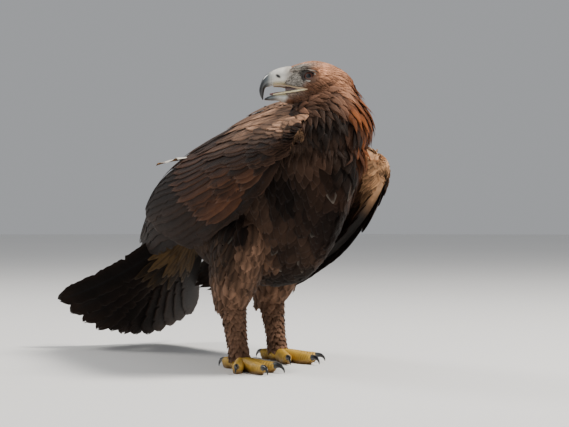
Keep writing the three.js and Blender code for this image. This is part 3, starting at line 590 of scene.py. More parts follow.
for leg in LEGS.values():
    (x, y, z), (hx, hy, hz) = leg["knee"], leg["hock"]
    marks += [
        ((x, y - 50, z - 20), (0, 0.15, -1), TROUSER_FRONT),
        ((x + leg["side"] * 34, y, z - 20), (0, 0.25, -1), TROUSER),
        ((x, y + 46, z - 30), (0, 0.35, -1), TROUSER),
        ((hx, hy - 26, hz + 10), (0, 0.1, -1), TROUSER_FRONT),
        ((hx, hy - 20, hz - 50), (0, -0.2, -1), TROUSER_FRONT),
    ]
mark_places, mark_ways, mark_colours = (np.array(column, float) for column in zip(*marks))
mark_ways = unit(mark_ways)


def near_marks(points, values, sharp=4.6):
    gaps = np.linalg.norm(points[:, None] - mark_places[None], axis=2) + 4
    weights = gaps**-sharp
    return (weights @ values) / weights.sum(1, keepdims=True)


# %% Paint the skin with the same colours, darkened as painted shade between the feathers
spots = np.zeros(len(skin.data.vertices) * 3)
skin.data.vertices.foreach_get("co", spots)
spots = spots.reshape(-1, 3) / MM - SHIFT
# the skin takes the feathers' colours at 0.55: painted shade in the gaps between them
paint(skin.data, near_marks(spots, mark_colours) * 0.55)
skin.data.polygons.foreach_set("use_smooth", np.ones(len(skin.data.polygons), bool))
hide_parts("torso", "neck", "head", "thigh_right", "thigh_left", "shank_right", "shank_left")
skin_tree = BVHTree.FromPolygons(spots.tolist(), [tuple(p.vertices) for p in skin.data.polygons])

# %% [markdown]
# ## One vane
# All feathers are the same closed sheet of quads, bent and coloured differently: rows run from root to
# tip and columns from edge to edge. The outline gives the half width of each row.

# %% Build many vanes at once
OUTLINES = {
    "body": through([[0.35], [0.8], [1.0], [0.95], [0.62], [0.12]]),
    "flight": through([[0.4], [0.8], [0.96], [1.0], [0.98], [0.86], [0.5], [0.06]]),
    "broad": through([[0.4], [0.8], [0.95], [1.0], [1.0], [0.99], [0.95], [0.8]]),
    "pointed": through([[0.5], [0.9], [1.0], [0.8], [0.45], [0.06]]),
}
rng = np.random.default_rng(20)


def half_width(shape, a):
    """Share of the full width along the feather; large feathers end round."""
    line = OUTLINES[shape](a)[..., 0]
    if shape in ("broad", "flight"):
        line = line * np.sqrt(1 - 0.97 * np.clip((a - 0.9) / 0.1, 0, 1) ** 2)
    return line


def vane_quads(rows, columns):
    grid = np.arange(rows * columns).reshape(rows, columns)
    under = grid + rows * columns
    a, b, c, d = grid[:-1, :-1], grid[:-1, 1:], grid[1:, 1:], grid[1:, :-1]
    quads = [np.stack([a, b, c, d], -1).reshape(-1, 4)]
    a, b, c, d = under[:-1, :-1], under[1:, :-1], under[1:, 1:], under[:-1, 1:]
    quads.append(np.stack([a, b, c, d], -1).reshape(-1, 4))
    loop = np.concatenate([grid[0, :-1], grid[:-1, -1], grid[-1, :0:-1], grid[:0:-1, 0]])
    follow = np.roll(loop, -1)
    size = rows * columns
    quads.append(np.stack([loop, loop + size, follow + size, follow], -1))
    return np.concatenate(quads)


def close_vanes(top, out, thick):
    """top (N, rows, columns, 3) becomes closed sheets: points and quads."""
    n, rows, columns, _ = top.shape
    taper = 1 - 0.6 * np.linspace(0, 1, rows)[None, :, None, None]
    under = top - out * thick * taper
    points = np.concatenate([top.reshape(n, -1, 3), under.reshape(n, -1, 3)], 1)
    quads = vane_quads(rows, columns)[None] + (np.arange(n) * 2 * rows * columns)[:, None, None]
    return points.reshape(-1, 3), quads.reshape(-1, 4)


# %% [markdown]
# A feather is darker at its root, partly its own darker base and partly painted shade under the feather
# above, and worn pale at its edge, and no two have the same tone. Its underside is darker by painted shade.
# The shaft is a thin pale line down the middle of the large ones.

# %% Colour the vanes


def vane_colours(base, edge, rows, columns, share=0.5, shaft=0.0, spread=0.14, root_dark=0.55):
    n = len(base)
    a = np.linspace(0, 1, rows)[None, :, None, None]
    b = np.abs(np.linspace(-1, 1, columns))[None, None, :, None]
    worn = np.maximum(smooth((b - 0.55) / 0.45) * smooth(a / 0.4), smooth((a - 0.8) / 0.2))
    tint = rng.normal(1, spread, (n, 1, 1, 1)).clip(0.55, 1.6)
    colour = mix(base[:, None, None], edge[:, None, None], worn * share)
    # darker towards the root: partly the feather's own darker base, partly painted shade under the feather
    # above
    colour = colour * tint * mix(root_dark, 1.0, smooth(a / 0.45))
    if shaft:
        colour = mix(colour, colour * 0.4 + shaft, (b < 0.05) * (a < 0.96))
    # the underside copy is darkened to 0.8 as painted shade
    return np.concatenate([colour.reshape(n, -1, 3), colour.reshape(n, -1, 3) * 0.8], 1)


def vane_maps(n, rows, columns, patch_at):
    a, b = np.meshgrid(np.linspace(0, 1, rows), np.linspace(0, 1, columns), indexing="ij")
    uv = np.stack([b, a], -1).reshape(1, -1, 2)
    uv = np.tile(np.concatenate([uv, uv], 1), (n, 1, 1))
    patch = patch_at[:, None] + (uv - 0.5) * 0.003
    return uv, patch


# %% [markdown]
# ## Feathers on a sheet
# Wings, tail, thighs and shanks are smooth sheets with two shares, s from front to tip and t across. A
# feather is laid from one pair of shares to another, with a height over the sheet at root, middle and
# tip, and one edge raised so that neighbours lie over each other like slates.

# %% Lay feathers on a sheet
STEP = 0.01


def each(*columns):
    """One row for each feather: its (s, t), or its heights at root, middle and tip."""
    return np.stack(np.broadcast_arrays(*columns), -1).astype(float)


def sheet_frame(sheet, s, t):
    along_s = (sheet(s + STEP, t) - sheet(s - STEP, t)) / (2 * STEP)
    along_t = (sheet(s, t + STEP) - sheet(s, t - STEP)) / (2 * STEP)
    out = unit(np.cross(along_s, along_t) * sheet.side)
    return along_s, along_t, out


def lay(sheet, root, tip, width, lift, shape="body", bend=0.0, tilt=0.0, rows=10, columns=5,
        cup=0.0, ragged=0.05, splits=0.0, tatter=0.0, lean=0.012):
    """Returns the upper faces of the feathers (N, rows, columns, 3) and the way out of the sheet."""
    root, tip = np.atleast_2d(root), np.atleast_2d(tip)
    n = len(root)
    a = np.linspace(0, 1, rows)[None]
    width = np.broadcast_to(np.asarray(width, float), (n,))[:, None]
    lift = np.broadcast_to(np.asarray(lift, float), (n, 3))
    tilt = np.broadcast_to(np.asarray(tilt, float), (n,))[:, None, None]
    s = mix(root[:, :1], tip[:, :1], a)
    t = mix(root[:, 1:], tip[:, 1:], a) + bend * 4 * a * (1 - a)
    along_s, along_t, out = sheet_frame(sheet, s, t)
    ways = (tip - root)[:, None]
    way = unit(along_s * ways[..., :1] + along_t * ways[..., 1:])
    across = unit(np.cross(out, way))
    ss, st, tt = (along_s**2).sum(-1), (along_s * along_t).sum(-1), (along_t**2).sum(-1)
    p, q = (across * along_s).sum(-1), (across * along_t).sum(-1)
    det = ss * tt - st * st
    lean_s, lean_t = (p * tt - q * st) / det, (q * ss - p * st) / det
    # Where an offset sheet folds, a step across would run away, so it is held
    lean_s, lean_t = np.clip(lean_s, -lean, lean), np.clip(lean_t, -lean, lean)
    b = np.linspace(-1, 1, columns)
    outline = half_width(shape, a)
    half = width / 2 * outline
    sides = half[..., None] * np.ones(columns)
    wear = rng.normal(0, ragged, (n, rows, 2)) * smooth((a - 0.25) / 0.3)[..., None]
    if splits:
        notch = rng.random((n, rows, 2)) < splits
        wear = wear - notch * rng.uniform(0.15, 0.4, (n, rows, 2)) * (a[..., None] > 0.3)
    left, right = 1 + wear[..., :1], 1 + wear[..., 1:]
    sides = sides * np.where(b < 0, left, np.where(b > 0, right, 1.0))
    reach = b * sides
    rise = (lift[:, :1] * 2 * (a - 0.5) * (a - 1) - lift[:, 1:2] * 4 * a * (a - 1)
            + lift[:, 2:] * 2 * a * (a - 0.5))
    height = rise[..., None] + tilt * b * outline[..., None] - cup * reach * reach
    se = s[..., None] + lean_s[..., None] * reach
    te = t[..., None] + lean_t[..., None] * reach
    frayed = rng.uniform(0, tatter, (n, 1, columns)) * smooth((a - 0.8) / 0.2)[..., None]
    se, te = se - ways[..., :1] * frayed, te - ways[..., 1:] * frayed
    _, _, out_edge = sheet_frame(sheet, se, te)
    return sheet(se, te) + out_edge * height[..., None], out_edge


# %% [markdown]
# ## The wings
# Three lines run from the wrist to the wing's tip: the top edge along the back, the side, and the lower
# edge. The sheet between them is the folded wing. The left one hangs lower and stands off the body.

# %% Wing sheets
WING_TOP = through([
    [66, -206, 328], [62, -188, 340], [46, -130, 350], [34, -40, 350],
    [28, 70, 336], [28, 190, 306], [24, 310, 256], [8, 408, 172],
])
WING_SIDE = through([
    [80, -214, 316], [97, -194, 308], [109, -135, 291], [114, -45, 272],
    [110, 65, 250], [92, 188, 236], [56, 302, 198], [16, 410, 162],
])
WING_EDGE = through([
    [84, -206, 298], [96, -188, 276], [103, -135, 238], [106, -45, 200],
    [98, 60, 180], [80, 175, 164], [52, 282, 154], [22, 404, 152],
])
LEFT_WING = through([
    [-20, 38], [-31, 40], [-34, 42], [-28, 47], [-14, 58], [4, 68], [24, 76], [54, 82],
])


def wing_sheet(side):
    def sheet(s, t):
        s, t = np.broadcast_arrays(s, t)
        weights = (2 * t * t - 3 * t + 1, 4 * t - 4 * t * t, 2 * t * t - t)
        lines = (WING_TOP(s), WING_SIDE(s), WING_EDGE(s))
        spot = sum(w[..., None] * line for w, line in zip(weights, lines))
        out, y, z = np.moveaxis(spot, -1, 0)
        if side == RIGHT:
            return np.stack([-out, y, z], -1)
        outward, lower = np.moveaxis(LEFT_WING(s), -1, 0)
        return np.stack([out + outward * mix(0.7, 1, t), y, z - lower * mix(0.8, 1, t)], -1)

    sheet.side = -side
    return sheet


# %% [markdown]
# Under the coverts lies the arm, a flat form that fills the wing and carries the feathers.

# %% The arm under the feathers


ARM_REACH = 0.66  # share of the wing's length
ARM_SINK = 2.5  # mm below the sheet, for the roots


def arm_depth(s, t):
    along = np.sin(np.pi * (0.1 + np.clip(s / ARM_REACH, 0, 1) * 0.86)) ** 0.7
    return 4 + 17 * along * np.sin(np.pi * mix(0.12, 0.92, np.clip(t, 0, 1))) ** 0.6


def inner_sheet(side):
    outer = wing_sheet(side)

    def sheet(s, t):
        _, _, out = sheet_frame(outer, s, t)
        return outer(s, t) - out * (ARM_SINK + arm_depth(s, t))[..., None]

    sheet.side = -outer.side
    return sheet


def front_sheet(side):
    """Round the wing's front edge: s from the outer face to the inner one, t down the edge."""
    outer = wing_sheet(side)

    def sheet(s, t):
        s, t = np.broadcast_arrays(s, t)
        along_s, _, out = sheet_frame(outer, s * 0, t)
        half = (ARM_SINK + arm_depth(s * 0, t)) / 2
        middle = outer(s * 0, t) - out * half[..., None]
        round_edge = (np.cos(np.pi * s) * half)[..., None] * out
        return middle + round_edge - (np.sin(np.pi * s) * 5.0)[..., None] * unit(along_s)

    sheet.side = -outer.side
    return sheet


def arm(name, side, stands_for):
    sheet = wing_sheet(side)
    rows, columns = 40, 20
    s, t = np.meshgrid(np.linspace(0, ARM_REACH, rows), np.linspace(0.0, 0.98, columns), indexing="ij")
    _, _, out = sheet_frame(sheet, s, t)
    top = (sheet(s, t) - out * ARM_SINK)[None]
    under = top - out * arm_depth(s, t)[..., None]
    points = np.concatenate([top.reshape(-1, 3), under.reshape(-1, 3)])
    tan = smooth((0.26 - s) / 0.15).ravel() * (0.8 if side == LEFT else 0.1)
    colours = mix(DARK, WRIST_TAN, np.concatenate([tan, tan])[:, None])
    quads = vane_quads(rows, columns)
    return piece(name, points, quads, skin_finish, "flight_feathers", stands_for, colours)


arm("wing_right_arm", RIGHT, ["wing_right"])
arm("wing_left_arm", LEFT, ["wing_left"])

# %% [markdown]
# The rows of a wing, from the wrist back: small marginal and lesser coverts, then median and greater
# coverts, then secondaries with the tips of the primaries beyond them. Each row's tips hide the roots
# of the next. Scapulars lie over the top edge. Coverts are worn pale brown at their edges.

# %% Rows of wing feathers
FLIGHT = (ink("1f140e"), ink("3f2b1f"))  # base and worn edge
COVERT, COVERT_EDGE = SMALL = (ink("352015"), ink("65422d"))
SHOULDER, SHOULDER_EDGE = FRONT = (ink("2a1d17"), ink("5e4536"))
SLATE = 1.6  # mm by which one edge of a feather lies over its neighbour

# count, shape, width, roots and tips of the lowest and the highest feather, lift, tones, edge share
WING_ROWS = [
    (7, "flight", 27, (0.46, 0.86), (0.54, 0.5), (0.89, 0.95), (0.99, 0.36), (-5, -1.6, -0.6), FLIGHT, 0.3),
    (14, "broad", 30, (0.34, 0.86), (0.44, 0.14), (0.61, 1.01), (0.88, 0.17), (-4, 1.2, 3), FLIGHT, 0.45),
    (5, "broad", 17, (0.2, 0.9), (0.27, 0.84), (0.38, 1), (0.52, 0.98), (-3, 1.6, 2.8), FLIGHT, 0.4),
    (13, "body", 29, (0.26, 0.76), (0.4, 0.14), (0.44, 0.95), (0.7, 0.16), (-3, 1.8, 4.2), SMALL, 0.6),
    (12, "body", 27, (0.21, 0.7), (0.32, 0.13), (0.355, 0.88), (0.55, 0.15), (-2.5, 2.2, 4.8), SMALL, 0.7),
    (12, "body", 25, (0.17, 0.68), (0.26, 0.12), (0.29, 0.84), (0.44, 0.14), (-2, 2.2, 4.2),
     (COVERT, SHOULDER_EDGE), 0.6),
    (12, "body", 23, (0.13, 0.7), (0.2, 0.1), (0.235, 0.82), (0.35, 0.12), (-2, 2, 3.8), FRONT, 0.6),
    (12, "body", 21, (0.1, 0.74), (0.15, 0.08), (0.19, 0.83), (0.28, 0.1), (-2, 1.8, 3.4), FRONT, 0.6),
    (12, "body", 20, (0.07, 0.8), (0.1, 0.05), (0.145, 0.86), (0.21, 0.08), (-2, 1.6, 3), FRONT, 0.6),
    (11, "body", 18, (0.04, 0.86), (0.055, 0.03), (0.105, 0.9), (0.15, 0.06), (-2, 1.4, 2.6), FRONT, 0.55),
    (10, "body", 17, (0.01, 0.92), (0.015, 0.02), (0.07, 0.94), (0.095, 0.04), (-2, 1.2, 2.2), FRONT, 0.5),
    (3, "broad", 15, (0.1, 0.92), (0.13, 0.84), (0.25, 0.99), (0.31, 0.95), (-2, 3, 5), FLIGHT, 0.4),
]
SCAPULAR_ROWS = [  # count, width, first and last root, length, place of the tips, height
    (9, 30, 0.2, 0.58, 0.24, 0.17, 4.5), (10, 27, 0.14, 0.5, 0.19, 0.1, 5.5),
    (10, 24, 0.1, 0.42, 0.15, 0.04, 6.0), (10, 22, 0.06, 0.4, 0.12, -0.04, 6.0),
]


def coat_of(name, sheet, groups, material, slot, stands_for=()):
    """groups: dicts for lay() with colours. All vanes of one coat are joined into one piece."""
    parts, count = [], 0
    for group in groups:
        tones = {key: group.pop(key) for key in ("share", "shaft", "spread", "root_dark") if key in group}
        base, edge, thick = group.pop("base"), group.pop("edge"), group.pop("thick", 0.35)
        top, out = lay(sheet, **group)
        n, rows, columns, _ = top.shape
        points, quads = close_vanes(top, out, thick)
        base, edge = np.broadcast_to(base, (n, 3)), np.broadcast_to(edge, (n, 3))
        colours = vane_colours(base, edge, rows, columns, **tones)
        uv, patch = vane_maps(n, rows, columns, 0.03 + 0.94 * np.mod(np.atleast_2d(group["root"]), 1.0))
        maps = uv.reshape(-1, 2), patch.reshape(-1, 2)
        parts.append((points, quads + count, colours.reshape(-1, 3), *maps))
        count += len(points)
    points, quads, colours, uv, patch = (np.vstack(column) for column in zip(*parts))
    return piece(name, points, quads, material, slot, stands_for, colours, uv, patch)


def between(first, final, n):
    return mix(np.array(first), np.array(final), np.linspace(0, 1, n)[:, None])


def worn_and_sheen_tone(base, s, t):
    """Sun-worn brown near the wing's top, lightened further by a painted sheen from the light above, and
    patches of old and new feathers all over.
    """
    worn = smooth((0.4 - t) / 0.35) * smooth((s - 0.12) / 0.12) * smooth((0.62 - s) / 0.2)
    patches = smooth((np.sin(31 * s + 9 * t) * np.sin(13 * t - 17 * s + 1) + 0.1) / 0.5)
    tone = mix(base, TOP_TAN_AND_SHEEN, (worn * 0.75)[:, None])
    return tone * (0.75 + 0.65 * patches + rng.normal(0, 0.12, len(s)))[:, None]


def wing_coat(name, side):
    groups = []
    for n, shape, width, r0, r1, t0, t1, lift, (base, edge), share in WING_ROWS:
        root, tip = between(r0, r1, n), between(t0, t1, n)
        large = shape != "body"
        stray_by = 0.003 if large else 0.008
        root = root + rng.normal(0, stray_by, root.shape)
        tip = tip + rng.normal(0, stray_by * 1.6, tip.shape)
        tone = np.tile(base, (n, 1)) if large else worn_and_sheen_tone(base, *tip.T)
        if side == LEFT:
            pale = smooth((0.26 - tip[:, 0]) / 0.14) * smooth((0.95 - tip[:, 1]) / 0.4)
            tone = mix(tone, WRIST_TAN * rng.uniform(0.7, 1.05, (n, 1)), pale[:, None])
        make = dict(bend=0.03, rows=34, columns=9, splits=0.06, tatter=0.02, shaft=0.008) if large else dict(
            bend=0.015, rows=16, columns=7, splits=0.08, tatter=0.09, shaft=0.004)
        groups.append(dict(
            make, root=root, tip=tip, width=width * rng.uniform(0.88, 1.14, n), lift=lift, shape=shape,
            tilt=-side * SLATE, cup=0.0012, ragged=0.035, base=tone, edge=mix(tone, edge, 0.6),
            share=share, spread=0.2,
        ))
    for n, width, s0, s1, length, t, lift in SCAPULAR_ROWS:
        s = np.linspace(s0, s1, n) + rng.normal(0, 0.006, n)
        tip = each(s + length * rng.uniform(0.88, 1.1, n), t + rng.normal(0, 0.015, n))
        tone = worn_and_sheen_tone(COVERT, *tip.T)
        rise = lift * smooth((s - 0.05) / 0.25)
        groups.append(dict(
            root=each(s, t - 0.13), tip=tip, width=width, lift=each(-3, rise - 2, rise), rows=18, columns=7,
            cup=0.002, splits=0.08, tatter=0.08, base=tone, edge=mix(tone, SHOULDER_EDGE, 0.5),
            share=0.4, shaft=0.005, spread=0.22,
        ))
    if side == RIGHT:  # a ruffled tuft where the back meets the raised shoulder
        s = np.linspace(0.3, 0.46, 12) + rng.normal(0, 0.01, 12)
        groups.append(dict(
            root=each(s, -0.05), tip=each(s + 0.055, rng.normal(-0.06, 0.04, 12)), width=11,
            lift=each(-2, 3, rng.uniform(3, 7, 12)), rows=14, columns=7, shape="pointed",
            splits=0.2, tatter=0.3, base=COVERT * 0.7, edge=COVERT, share=0.5, spread=0.25,
        ))
    return coat_of(name, wing_sheet(side), groups, wing_vanes, "flight_feathers")


# %% [markdown]
# The lining of the wing shows where a wing stands off the body. Its coverts run back in rows from the
# front edge, and a pelt of small tan feathers wraps the edge itself.

# %% Wing lining and front edge


def lining(name, side):
    groups = []
    for s in np.linspace(0.02, 0.5, 9):
        n = 13
        t = np.linspace(0.01, 0.97, n) + rng.normal(0, 0.01, n)
        length = 0.13 + 0.12 * s
        tone = mix(COVERT, WRIST_TAN, 0.7 * smooth((0.16 - s) / 0.12)) if side == LEFT else COVERT * 0.8
        groups.append(dict(
            root=each(s, t), tip=each(s + length * rng.uniform(0.9, 1.15, n), t + 0.02), width=19 + 16 * s,
            lift=(-2, 1.5, 3), rows=14, columns=7, cup=0.002, splits=0.08, tatter=0.08,
            base=tone, edge=tone * 1.6, share=0.35, shaft=0.003, spread=0.25,
        ))
    coat_of(name + "_lining", inner_sheet(side), groups, wing_vanes, "flight_feathers")
    groups = []
    for t in np.linspace(0.01, 0.9, 22):
        n = 9
        s = np.linspace(0.02, 0.98, n) + rng.normal(0, 0.03, n)
        # on the right wing the front edge is lighter towards its top as a painted highlight of sunlit
        # feather edges
        tan = smooth((0.95 - t) / 0.4) if side == LEFT else 0.1 + 0.15 * smooth((0.5 - t) / 0.3)
        tone = mix(SHOULDER * 0.8, WRIST_TAN, tan) * rng.uniform(0.75, 1.2, (n, 1))
        groups.append(dict(
            root=each(s, t), tip=each(s, t + rng.uniform(0.09, 0.12, n)),
            width=9, lift=(-1.5, 0.8, 1.4), rows=8, columns=5, splits=0.08, tatter=0.15,
            base=tone, edge=tone * 1.4, share=0.5, spread=0.2, root_dark=0.85,
        ))
    coat_of(name + "_front", front_sheet(side), groups, wing_vanes, "flight_feathers")


lining("wing_right", RIGHT)
lining("wing_left", LEFT)
wing_coat("wing_right_feathers", RIGHT)
wing_coat("wing_left_feathers", LEFT)

# %% [markdown]
# One feather stands out of place at the back edge of the right wing, white above near its root and
# ochre at its tip and below.

# %% The stray feather
ROWS, COLUMNS = 22, 7
stray = lay(wing_sheet(RIGHT), (0.635, 0.12), (0.74, 0.19), 21, (-3, 12, 24), "pointed", tilt=7,
            rows=ROWS, columns=COLUMNS, ragged=0.12, splits=0.2, tatter=0.15, cup=0.03)
points, quads = close_vanes(*stray, 0.5)
white, ochre = ink("e9e2d6"), ink("8a6236")
towards_tip = smooth((np.repeat(np.linspace(0, 1, ROWS), COLUMNS) - 0.55) / 0.3)[:, None]
tones = np.concatenate([mix(white, ochre, towards_tip), np.tile(ochre, (ROWS * COLUMNS, 1))])
piece("stray_feather", points, quads, body_vanes, "flight_feathers", (), tones,
      *vane_maps(1, ROWS, COLUMNS, np.array([[0.5, 0.5]])))

# %% [markdown]
# ## The tail
# Twelve broad feathers fan out from the rump, the middle pair on top. They are blackish with ragged,
# worn tips. Coverts cover their roots above, and long buff ones reach half way along below.

# %% Tail feathers and their coverts
TAIL_ROOT = np.array([0.0, 214.0, 222.0])
TAIL_LENGTH = 298.0
TAIL_RAYS = unit(np.array([[-139.0, 207, -134], [-22, 209, -199], [90, 218, -159]]))


def tail_sheet(s, t):
    s, t = np.broadcast_arrays(s, t)
    weights = ((t * t - t) / 2, 1 - t * t, (t * t + t) / 2)
    way = unit(sum(w[..., None] * ray for w, ray in zip(weights, TAIL_RAYS)))
    return TAIL_ROOT + way * (TAIL_LENGTH * s)[..., None]


tail_sheet.side = -1
TAIL, TAIL_EDGE = ink("1b1411"), ink("3a2a20")
pair = np.repeat(np.arange(6), 2)
side = np.tile([RIGHT, LEFT], 6)
t = side * (pair + 0.5) / 5.5
level = np.where(pair < 2, 2 * pair + (side == LEFT), pair + 2) * -1.35
groups = [dict(
    root=each(0.06, t * 0.6), tip=each(rng.uniform(0.99, 1.016, 12), t),
    width=41, lift=each(level, level, level), shape="broad", lean=0.03, rows=60, columns=13, cup=0.0006,
    ragged=0.04, splits=0.08, tatter=0.03, base=TAIL, edge=TAIL_EDGE, share=0.4, shaft=0.006,
    thick=0.5,
)]
VENT_PALE, VENT_BROWN = ink("57432a"), ink("231a12")
for reach, spread_t, n, lift, width, base, edge in (
    (0.46, 0.8, 9, (-3, 2.5, 2.0), 30, MANTLE, COVERT_EDGE),
    (0.33, 0.8, 9, (-2, 4.0, 4.5), 28, MANTLE, COVERT_EDGE),
    (0.55, 0.62, 9, (-10, -13, -12), 31, VENT_BROWN, VENT_PALE),
    (0.45, 0.7, 9, (-11, -15, -14), 29, VENT_PALE, VENT_PALE),
    (0.34, 0.75, 9, (-12, -17, -16), 27, VENT_PALE, VENT_BROWN),
):
    t = np.linspace(-1, 1, n) * spread_t
    groups.append(dict(
        root=each(0.02, t * 0.45),
        tip=each(reach * rng.uniform(0.9, 1.08, n), t + rng.normal(0, 0.03, n)),
        width=width, lift=lift, rows=20, columns=7, cup=0.002 * np.sign(lift[1]), splits=0.05,
        base=base, edge=edge, share=0.5, shaft=0.005,
    ))
coat_of("tail_feathers", tail_sheet, groups, wing_vanes, "flight_feathers", ["tail"])

# %% [markdown]
# ## Trousers
# Long loose feathers hang over the thighs in rows, each row over the next, and short ones run down the
# shank to the toes.

# %% Thigh and shank feathers


def leg_coat(leg):
    groups, sheet = [], thigh_sheet(leg)
    for row, s in enumerate(np.linspace(0.1, 0.83, 12)):
        n = 17
        loose = smooth((s - 0.25) / 0.6)
        t = (np.arange(n) + 0.5 * (row % 2)) / n + rng.normal(0, 0.01, n)
        hang = loose * (0.65 + 0.35 * np.cos(2 * np.pi * t))
        tone = near_marks(sheet(np.full(n, s + 0.1), t), mark_colours)
        groups.append(dict(
            root=each(s, t), tip=each(s + rng.uniform(0.2, 0.28, n), t + rng.normal(0, 0.012, n)),
            width=rng.uniform(14, 19, n), rows=12, columns=5, cup=0.004, splits=0.15, ragged=0.08,
            lift=each(-4.5, 1 + 6 * hang, 2.5 + 10 * hang * rng.uniform(0.6, 1.1, n)),
            tatter=0.2, base=tone, edge=tone * 1.5, share=0.5, shaft=0.002, spread=0.25,
        ))
    coat_of("thigh_" + leg + "_feathers", sheet, groups, body_vanes, "leg_plumage")
    groups, sheet = [], shank_sheet(leg)
    for row, s in enumerate(np.linspace(0.02, 0.88, 14)):
        n = 11
        t = (np.arange(n) + 0.5 * (row % 2)) / n + rng.normal(0, 0.012, n)
        tone = near_marks(sheet(np.full(n, s), t), mark_colours)
        groups.append(dict(
            root=each(s, t), tip=each(s + rng.uniform(0.16, 0.2, n), t), width=10, rows=7, columns=3,
            lift=(-2, 1.5 + 3 * (1 - s), 3 + 4 * (1 - s)), ragged=0.08, tatter=0.2,
            base=tone, edge=tone * 1.6, spread=0.16,
        ))
    coat_of("shank_" + leg + "_feathers", sheet, groups, body_vanes, "leg_plumage")


for leg in LEGS:
    leg_coat(leg)

# %% [markdown]
# ## Body feathers
# Roots are strewn over the skin so that none stands too near another, close on the face and wider apart
# on the breast. Each feather follows the skin under it and rises a little towards its tip.

# %% Strew roots over the skin
corners = spots[np.array([tuple(p.vertices)[:3] for p in skin.data.polygons])]
areas = np.linalg.norm(np.cross(corners[:, 1] - corners[:, 0], corners[:, 2] - corners[:, 0]), axis=1)


def strew(count, spacing_at, keep):
    """Dart throwing: random spots, each kept only if no kept one is nearer than its spacing."""
    pick = rng.choice(len(areas), count, p=areas / areas.sum())
    u = rng.random((count, 2))
    u = np.where(u.sum(1, keepdims=True) > 1, 1 - u, u)
    a, b, c = corners[pick, 0], corners[pick, 1], corners[pick, 2]
    places = a + (b - a) * u[:, :1] + (c - a) * u[:, 1:]
    places = places[keep(places)]
    gaps = spacing_at(places)
    cell = 5.0
    taken, chosen = {}, []
    for i, (p, gap) in enumerate(zip(places.tolist(), gaps.tolist())):
        key = [int(x // cell) for x in p]
        reach = int(gap // cell) + 1
        around = itertools.product(*(range(k - reach, k + reach + 1) for k in key))
        if all(math.dist(p, q) >= gap for cell_near in around for q in taken.get(cell_near, ())):
            taken.setdefault(tuple(key), []).append(p)
            chosen.append(i)
    return places[chosen]


# %% [markdown]
# The spine of each feather is a row of points that are dropped onto the skin and lifted off it again.

# %% Lay feathers on the skin


def lay_on_skin(places, length, width, lift, shape, rows, columns, cup=0.006, wander=0.12, ragged=0.06,
                sink=1.0):
    n = len(places)
    flow = unit(near_marks(places, mark_ways) + rng.normal(0, wander, (n, 3)))
    a = np.linspace(0, 1, rows)
    top = np.zeros((n, rows, columns, 3))
    out = np.zeros((n, rows, columns, 3))
    outline = half_width(shape, a)
    b = np.linspace(-1, 1, columns)
    for i in range(n):
        _, normal, _, _ = skin_tree.find_nearest(places[i])
        normal = np.array(normal)
        way = flow[i] - normal * (flow[i] @ normal)
        way = way / max(np.linalg.norm(way), 1e-6)
        for k in range(rows):
            spot, around, _, _ = skin_tree.find_nearest(places[i] + way * length[i] * a[k])
            around = np.array(around)
            rise = lift[i] * (0.35 + 0.65 * a[k]) * smooth(a[k] * 4) - sink
            across = np.cross(around, way)
            across /= max(np.linalg.norm(across), 1e-6)
            reach = b * width[i] / 2 * outline[k]
            height = rise - cup * reach * reach
            top[i, k] = np.array(spot) + np.outer(reach, across) + np.outer(height, around)
            out[i, k] = around
    wear = 1 + rng.normal(0, ragged, (n, rows, 1, 1)) * (a > 0.3)[None, :, None, None]
    middle = top[:, :, columns // 2 : columns // 2 + 1]
    return middle + (top - middle) * wear, out


FLECK = ink("8d867c")


def body_patch(places):
    around = np.arctan2(places[:, 0], places[:, 2] - 225) / (2 * np.pi) + 0.5
    along = (places[:, 1] + 240) / 520
    return 0.02 + 0.96 * np.stack([around, along], 1)


def neck_patch(places):
    side = places - EYE_PLACE - np.array([0, -8, 0])
    around = np.arctan2(side @ SIDEWAYS, side @ FORWARD) / (2 * np.pi) + 0.5
    return 0.02 + 0.96 * np.stack([around, (places[:, 2] - 270) / 170], 1)


def skin_coat(name, places, length, width, lift, shape, rows, columns, material, slot, patch_at,
              edge_gain=1.7, share=0.5, flecks=0.0, spread=0.2, root_dark=0.55, **extra):
    length = length * rng.uniform(0.88, 1.12, len(places))
    width = width * rng.uniform(0.88, 1.12, len(places))
    top, out = lay_on_skin(places, length, width, lift * np.ones(len(places)), shape, rows, columns, **extra)
    points, quads = close_vanes(top, out, 0.3)
    base = near_marks(places, mark_colours)
    edge = np.where(rng.random((len(base), 1)) < flecks, FLECK, base * edge_gain)
    colours = vane_colours(base, edge, rows, columns, share, spread=spread, root_dark=root_dark)
    uv, patch = vane_maps(len(places), rows, columns, patch_at(places))
    made = piece(name, points, quads, material, slot, (), colours, uv, patch)
    print(name, "feathers:", len(places), "quads:", len(made.data.polygons))
    return made


# %% [markdown]
# Which feathers grow where: small scale-like ones on the head, hackles on nape and neck, and broad
# round ones on breast, belly, flank and back. Nothing grows on the eyes, the bill or inside the wings.

# %% Regions of the skin


def head_frame(p):
    d = p - EYE_PLACE
    return d @ FORWARD, d @ SIDEWAYS, d[:, 2]


def off_eye(p):
    f, l, u = head_frame(p)
    return (f**2 + (u * 1.05) ** 2 > 10.6**2) | (np.abs(l) < 15)


def off_mouth(p):
    f, l, u = head_frame(p)
    return (f < 4) | (np.abs(u + 17.4) > 1.6 + 0.16 * (f - 4))


def on_the_head(p):
    f, l, u = head_frame(p)
    above_jaw = u > -40 + 0.45 * (20 - f)
    return above_jaw & (f > -60) & (f < 31) & off_eye(p) & off_mouth(p) & (p[:, 2] > 352)


def on_the_neck(p):
    f, l, u = head_frame(p)
    below_jaw = u <= -36 + 0.45 * (20 - f)
    return below_jaw & (p[:, 2] > 292 - 0.25 * (p[:, 1] + 160)) & (p[:, 1] < -95)


